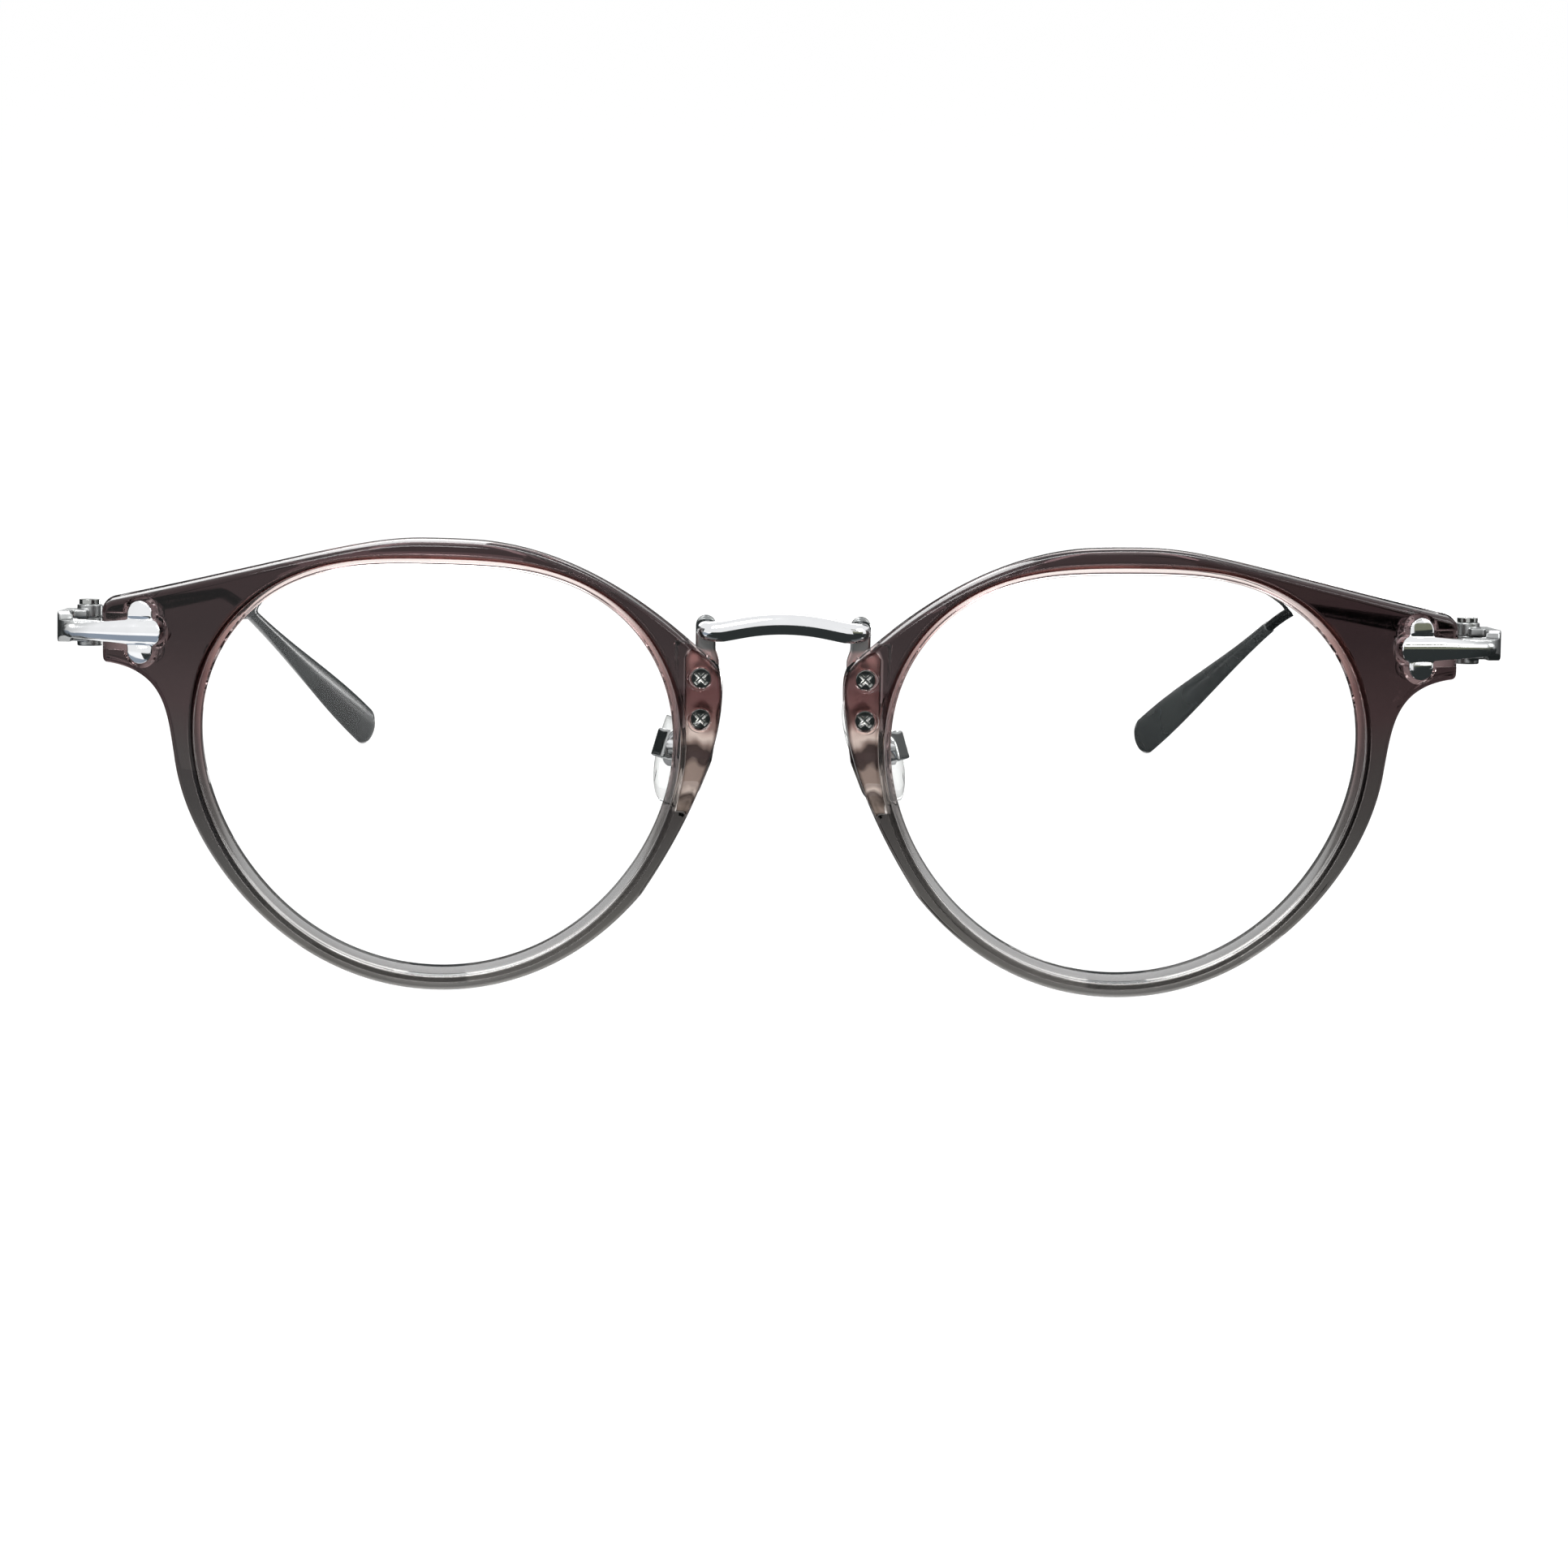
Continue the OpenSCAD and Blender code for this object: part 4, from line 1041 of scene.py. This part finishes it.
def arm_shape():
    """The bent wire, thicker where it is soldered to the plate."""
    straight = np.array([0, 1.0, 0])
    stations = [(pad_root - (0, 0.1, 0), straight, arm_d * 1.5, arm_d * 1.5),
                (pad_root, straight, arm_d * 1.35, arm_d * 1.35)]
    for t in np.linspace(0.05, 0.96, 26):
        w = arm_d * (1 + 0.3 * math.exp(-t * 26))
        stations.append((bezier(pad_path, t), slope(pad_path, t), w, w))
    stations.append((pad_entry, pad_point(0, 1, 0) - pad_point(0, 0, 0), arm_d, arm_d))
    return sweep(stations, 24)


def pad_shape():
    """The pad, an oval cushion that is a little wider above than below."""
    rings = []
    for i in range(-28, 29):
        t = sin(math.pi / 2 * i / 28) * 0.999
        part = max(1 - abs(t) ** 2.4, 0.0004) ** 0.45
        w, h = pad_t * part, pad_w * part * (1 - 0.12 * t)
        ring = []
        for j in range(40):
            f = 2 * math.pi * j / 40
            x, y = w / 2 * full(cos(f), 0.85), h / 2 * full(sin(f), 0.85)
            ring.append(tuple(pad_point(pad_face - pad_t / 2 + x, y, pad_up + pad_len / 2 * -t)))
        rings.append(ring)
    return loft(rings)


# Temples and tips
hinge_place = (Matrix.Translation((0, face_y(clover_x, clover_z), clover_z)) @ lean
               @ Matrix.Translation((0, 0, hinge_rise)))
arm_start = np.array(hinge_place @ Vector((side_x - side_t / 2, hinge_back + block_len, 0)))
arm_back = np.array([0, cos(rad(tilt)), -sin(rad(tilt))])
bend_y = front_y + reach - bend_run
bend = np.array([side_x - bend_in, bend_y, arm_start[2] - (bend_y - arm_start[1]) * math.tan(rad(tilt))])
arm_dir = unit(bend - arm_start)
cap_len = 0.45 * paddle_h
tip_yaw = math.atan((tip_in - bend_in) / (bend_run - 2))


def paddle_at(drop):
    """The middle of the tip's end, for a slope, so that the end touches the floor and the full depth."""
    c, s = cos(rad(drop)), sin(rad(drop))
    half = math.hypot(cap_len * c * cos(tip_yaw), paddle_h / 2 * s * cos(tip_yaw))
    back = math.hypot(half, paddle_t / 2 * sin(tip_yaw))
    return np.array([side_x - tip_in, front_y + reach - back, math.hypot(cap_len * s, paddle_h / 2 * c)])


def drop_to(p):
    """The slope from the bend to a place."""
    return math.degrees(math.atan2(bend[2] - p[2], math.hypot(p[0] - bend[0], p[1] - bend[1])))


paddle_mid = paddle_at(drop_to(paddle_at(drop_to(paddle_at(35)))))
tip_dir = unit(paddle_mid - bend)
bend_from, bend_to = bend - arm_dir * 6, bend + tip_dir * 6
arm_path = [arm_start, arm_start + arm_back * 30, bend_from - arm_dir * 25, bend_from]
bend_path = [bend_from, bend - arm_dir * 2.7, bend + tip_dir * 2.7, bend_to]
tip_run = float(np.linalg.norm(paddle_mid - bend_to))


def temple_shape():
    """The flat bar that thins to a wire, the bend and the core in the tip."""
    stations = []
    for t in np.linspace(0, 1, 70)[:-1]:
        m = t ** 0.7
        w, h = arm_t + (wire_d - arm_t) * m, arm_h - 0.1 + (wire_d - arm_h + 0.1) * m
        stations.append((bezier(arm_path, t), slope(arm_path, t), w, h))
    for t in np.linspace(0, 1, 25):
        stations.append((bezier(bend_path, t), slope(bend_path, t), wire_d, wire_d))
    for d in (0.02, core_len / 2, core_len):
        stations.append((bend_to + tip_dir * d, tip_dir, core_d, core_d))
    return sweep(stations, 32, 2.3)


def tip_size(t):
    """The tip's thickness and height on its way from the bend to the paddle."""
    w = min(t / 0.95, 1)
    w = w * w * (3 - 2 * w)
    return wire_d + 0.3 + (paddle_t - wire_d - 0.3) * w, wire_d + 0.3 + (paddle_h - wire_d - 0.3) * w


def tip_shape():
    """The tip with its rounded mouth and its paddle's cap."""
    stations = []
    w, h = tip_size(0)
    for k in (0.86, 0.95, 1.0):
        stations.append((bend_to + tip_dir * (k - 0.86) * 1.2, tip_dir, w * k, h * k))
    for t in np.linspace(0, 1, 70)[1:]:
        w, h = tip_size(t)
        stations.append((bend_to + tip_dir * tip_run * t, tip_dir, w, h))
    for i in range(1, 21):
        a = rad(90 * i / 20.2)
        k = 1 - 0.005 * sin(a)
        w, h = paddle_t * k * cos(a), paddle_h * k * cos(a)
        stations.append((paddle_mid + tip_dir * cap_len * k * sin(a), tip_dir, w, h))
    return sweep(stations, 48, 2.0)


# The pieces
lens_points, lens_faces = lens_shape()
plate_points, plate_faces = plate_shape()
# the plate's front half, which takes the painted reflection bands
plate_front = {"plate": np.arange(len(plate_points)) % plate_n > plate_n / 2}
rim_looks = rim_shares()
even = [("WEIGHTED_NORMAL", {"mode": "FACE_AREA", "weight": 80, "keep_sharp": True})]
metal = ("silver_metal", silver)
screw = ("screw_metal", steel)
made = (
    ("pad_arm", arm_shape(), "front", *metal, 40),
    ("nose_pad", pad_shape(), "pad", "clear_pad", pad_clear, 60),
    ("temple", temple_shape(), "temple", "temple_metal", gunmetal, 40),
    ("temple_tip", tip_shape(), "temple", "tip", tip_dark, 40),
)
rounded = (
    ("pad_insert", "pad", *metal, 0.1),
    ("pad_screw", "front", *screw, 0.06),
    ("bridge_screws", "front", *screw, 0.07),
    ("endpiece_screws", "front", *screw, 0.06),
    ("hinge_screw", "front", *screw, 0.08),
    ("backplate", "front", *metal, 0.12),
    ("temple_hinge", "temple", *metal, 0.15),
)
piece("bridge_bar.piece", *bridge_shape(), "front", "bridge_bar", *metal)
for side, mirrored in (("left", False), ("right", True)):
    bodies = {"front": "front", "pad": side + "_pad", "temple": side + "_temple"}
    piece("rim." + side, rim_points, rim_faces, "front", "rim_" + side, "acetate", acetate, mirrored, 38,
          even, rim_looks)
    piece("lens." + side, lens_points, lens_faces, "front", "lens_" + side, "lens", lens_glass, mirrored, 38)
    piece("bridge_plate." + side, plate_points, plate_faces, "front", "bridge_plate_" + side, *metal,
          mirrored, 50, shares=plate_front)
    for name, shape, body, slot, look, smooth in made:
        piece(f"{name}.{side}", *shape, bodies[body], f"{name}_{side}", slot, look, mirrored, smooth)
    melted("endpiece_" + side, "front", *metal, 0.07, 12, domed)
    melted("pad_box_" + side, "front", "silver_metal", chrome, 0.08, 90)
    for name, body, slot, look, width in rounded:
        polished(f"{name}_{side}", bodies[body], look, width)


# Camera at the photograph's view, solved from the photograph
view_turn = -1.5
view_rise = 11.0
view_roll = 1.0
view_far = 450
view_shift = (0.56549, 21.09009)
view_centre = (0, front_y, 0.6)
photo_px = 1932
focal_px = 5553


def make_camera():
    azimuth, elevation, roll = rad(view_turn), rad(view_rise), rad(view_roll)
    back = np.array([sin(azimuth) * cos(elevation), -cos(azimuth) * cos(elevation), sin(elevation)])
    level = np.array([cos(azimuth), sin(azimuth), 0])
    up = np.cross(back, level)
    across, above = cos(roll) * level + sin(roll) * up, -sin(roll) * level + cos(roll) * up
    spot = view_shift[0] * across + view_shift[1] * above + view_far * back + np.array(view_centre)
    ob = new_object("camera", bpy.data.cameras.new("camera"))
    ob.matrix_world = Matrix([(*row, at * MM) for row, at in zip(np.stack([across, above, back], 1), spot)]
                             + [(0, 0, 0, 1)])
    ob.data.sensor_width = 36
    ob.data.lens = focal_px / photo_px * 36
    ob.data.clip_start = 0.01
    ob.data.clip_end = 50
    bpy.context.scene.camera = ob


make_camera()


# Floor and backdrop, in metres
floor_r = 6
floor_glow = 1.13
glow_part = 0.8
world_light = 0.55


def stage_mesh(name, points, faces, paint):
    mesh = bpy.data.meshes.new(name)
    mesh.from_pydata(points, [], faces)
    mesh.materials.append(paint)
    smoothed(mesh)
    ob = new_object(name, mesh)
    return ob


def stage_paint(name):
    m = bpy.data.materials.new(name)
    m.use_nodes = True
    tree = m.node_tree
    tree.nodes.remove(tree.nodes["Principled BSDF"])
    return m, tree


def looking(tree):
    """1 for rays that look, straight, through clear parts or in a reflection, and 0 for rays that light."""
    path = node(tree, "ShaderNodeLightPath")
    seen = math_of(tree, "MAXIMUM", path.outputs["Is Camera Ray"], path.outputs["Is Transmission Ray"])
    return math_of(tree, "MAXIMUM", seen, path.outputs["Is Glossy Ray"])


def make_floor():
    """White floor that takes soft shadows."""
    m, tree = stage_paint("floor")
    lit = node(tree, "ShaderNodeBsdfDiffuse", {"Color": (0.86, 0.86, 0.86, 1)})
    glow = node(tree, "ShaderNodeEmission", {"Color": (1, 1, 1, 1), "Strength": floor_glow})
    mix = node(tree, "ShaderNodeMixShader")
    tree.links.new(math_of(tree, "MULTIPLY", looking(tree), glow_part), mix.inputs["Fac"])
    tree.links.new(lit.outputs["BSDF"], mix.inputs[1])
    tree.links.new(glow.outputs["Emission"], mix.inputs[2])
    tree.links.new(mix.outputs["Shader"], tree.nodes["Material Output"].inputs["Surface"])
    return m


disc = [(floor_r * cos(2 * math.pi * i / 96), floor_r * sin(2 * math.pi * i / 96), 0.0) for i in range(96)]
stage_mesh("floor", disc, [list(range(96))], make_floor())

# Cards that only reflections see, so that the metal has dark bands and the left tip its highlight
black = (0.03, 0.035, 0.035)
dim = (0.13, 0.14, 0.145)
blue = (0.3, 0.35, 0.42)
olive = (0.2, 0.21, 0.15)
on_floor = 0.0003
on_card = 0.0006


def card(name, colour, corners):
    name = "card." + name
    paint, tree = stage_paint(name)
    glow = node(tree, "ShaderNodeEmission", {"Color": (*colour, 1), "Strength": 1.0})
    tree.links.new(glow.outputs["Emission"], tree.nodes["Material Output"].inputs["Surface"])
    ob = stage_mesh(name, corners, [[0, 1, 2, 3]], paint)
    ob.visible_camera = ob.visible_diffuse = ob.visible_transmission = ob.visible_shadow = False
    ob.visible_volume_scatter = False


def floor_card(name, colour, corners, rise=on_floor):
    card(name, colour, [(x, y, rise) for x, y in corners])


def wall_card(name, colour, start, end, low, high):
    (a, b), (c, d) = start, end
    card(name, colour, [(a, b, low), (c, d, low), (c, d, high), (a, b, high)])


floor_card("bridge", dim, [(-0.05, 0.02), (0.05, 0.02), (0.05, -0.083), (-0.05, -0.083)])
floor_card("middle", black, [(-0.058, -0.083), (0.056, -0.083), (0.2, -0.6), (-0.4, -0.6)])
floor_card("under_bridge", black, [(-0.012, 0.0), (0.014, 0.0), (0.014, -0.083), (-0.012, -0.083)], on_card)
floor_card("inside", black, [(0.0, 0.02), (0.056, 0.02), (0.056, 0.09), (0.0, 0.09)])
floor_card("inside_left", grey(0.35), [(-0.06, 0.02), (0.0, 0.02), (0.0, 0.082), (-0.06, 0.082)])
floor_card("tip_light", grey(7), [(0.034, 0.1), (0.12, 0.13), (0.2, 0.42), (0.06, 0.34)], on_card)
floor_card("left", blue, [(-0.3, -0.07), (-0.06, -0.07), (-0.06, -0.15), (-0.3, -0.15)])
floor_card("left_out", black, [(-0.085, -0.069), (-0.6, -0.069), (-0.6, 0.6), (-0.085, 0.6)])
floor_card("right", black, [(0.056, -0.5), (0.6, -0.5), (0.6, 0.6), (0.056, 0.6)])
wall_card("far_right", black, (0.2, -0.5), (0.75, -0.3), 0.0, 0.08)
wall_card("high_right", olive, (0.2, -0.5), (0.75, -0.3), 0.08, 0.24)
wall_card("top_right", olive, (0.2, -0.5), (0.75, -0.3), 0.36, 0.46)
floor_card("behind", black, [(-0.6, 0.09), (0.6, 0.09), (0.9, 1.2), (-0.9, 1.2)])
wall_card("side_left", black, (-0.4, -0.12), (-0.4, 0.6), 0.0, 0.2)
wall_card("side_right", grey(0.22), (0.4, -0.05), (0.4, 0.6), 0.0, 0.2)
wall_card("rear_middle", dim, (-0.03, 0.9), (0.075, 0.9), 0.0, 0.7)
wall_card("rear_low", black, (-0.7, 1.0), (0.7, 1.0), 0.0, 0.235)
wall_card("rear_high", dim, (0.075, 1.0), (0.7, 1.0), 0.33, 0.8)


# World and lamps
def make_world():
    """White all round, dimmer as a lamp than as a backdrop."""
    world = bpy.data.worlds.new("world")
    bpy.context.scene.world = world
    world.use_nodes = True
    tree = world.node_tree
    background = tree.nodes["Background"]
    level = node(tree, "ShaderNodeMapRange", {"To Min": world_light, "To Max": 1.0})
    tree.links.new(looking(tree), level.inputs["Value"])
    tree.links.new(level.outputs["Result"], background.inputs["Strength"])
    background.inputs["Color"].default_value = (1, 1, 1, 1)


def lamp(name, spot, target, size, power):
    """A rectangular lamp that points at a target."""
    data = bpy.data.lights.new(name, "AREA")
    data.shape = "RECTANGLE"
    data.size, data.size_y = size
    data.energy = power
    ob = new_object(name, data)
    ob.location = spot
    ob.rotation_mode = "QUATERNION"
    ob.rotation_quaternion = (Vector(target) - Vector(spot)).to_track_quat("-Z", "Y")
    ob.visible_camera = False


make_world()
lamp("key", (-0.25, -0.45, 0.6), (0, -0.03, 0.02), (0.4, 0.25), 4.0)
lamp("fill", (0.6, -0.3, 0.45), (0, -0.03, 0.02), (0.4, 0.3), 2.0)
lamp("rear", (0.0, 0.6, 0.6), (0, 0, 0.02), (0.6, 0.3), 2.5)
lamp("strip", (-0.32, 0.95, 0.4), (-0.03, 0, 0.04), (0.7, 0.3), 1.1)

bpy.context.scene.view_settings.view_transform = "Standard"
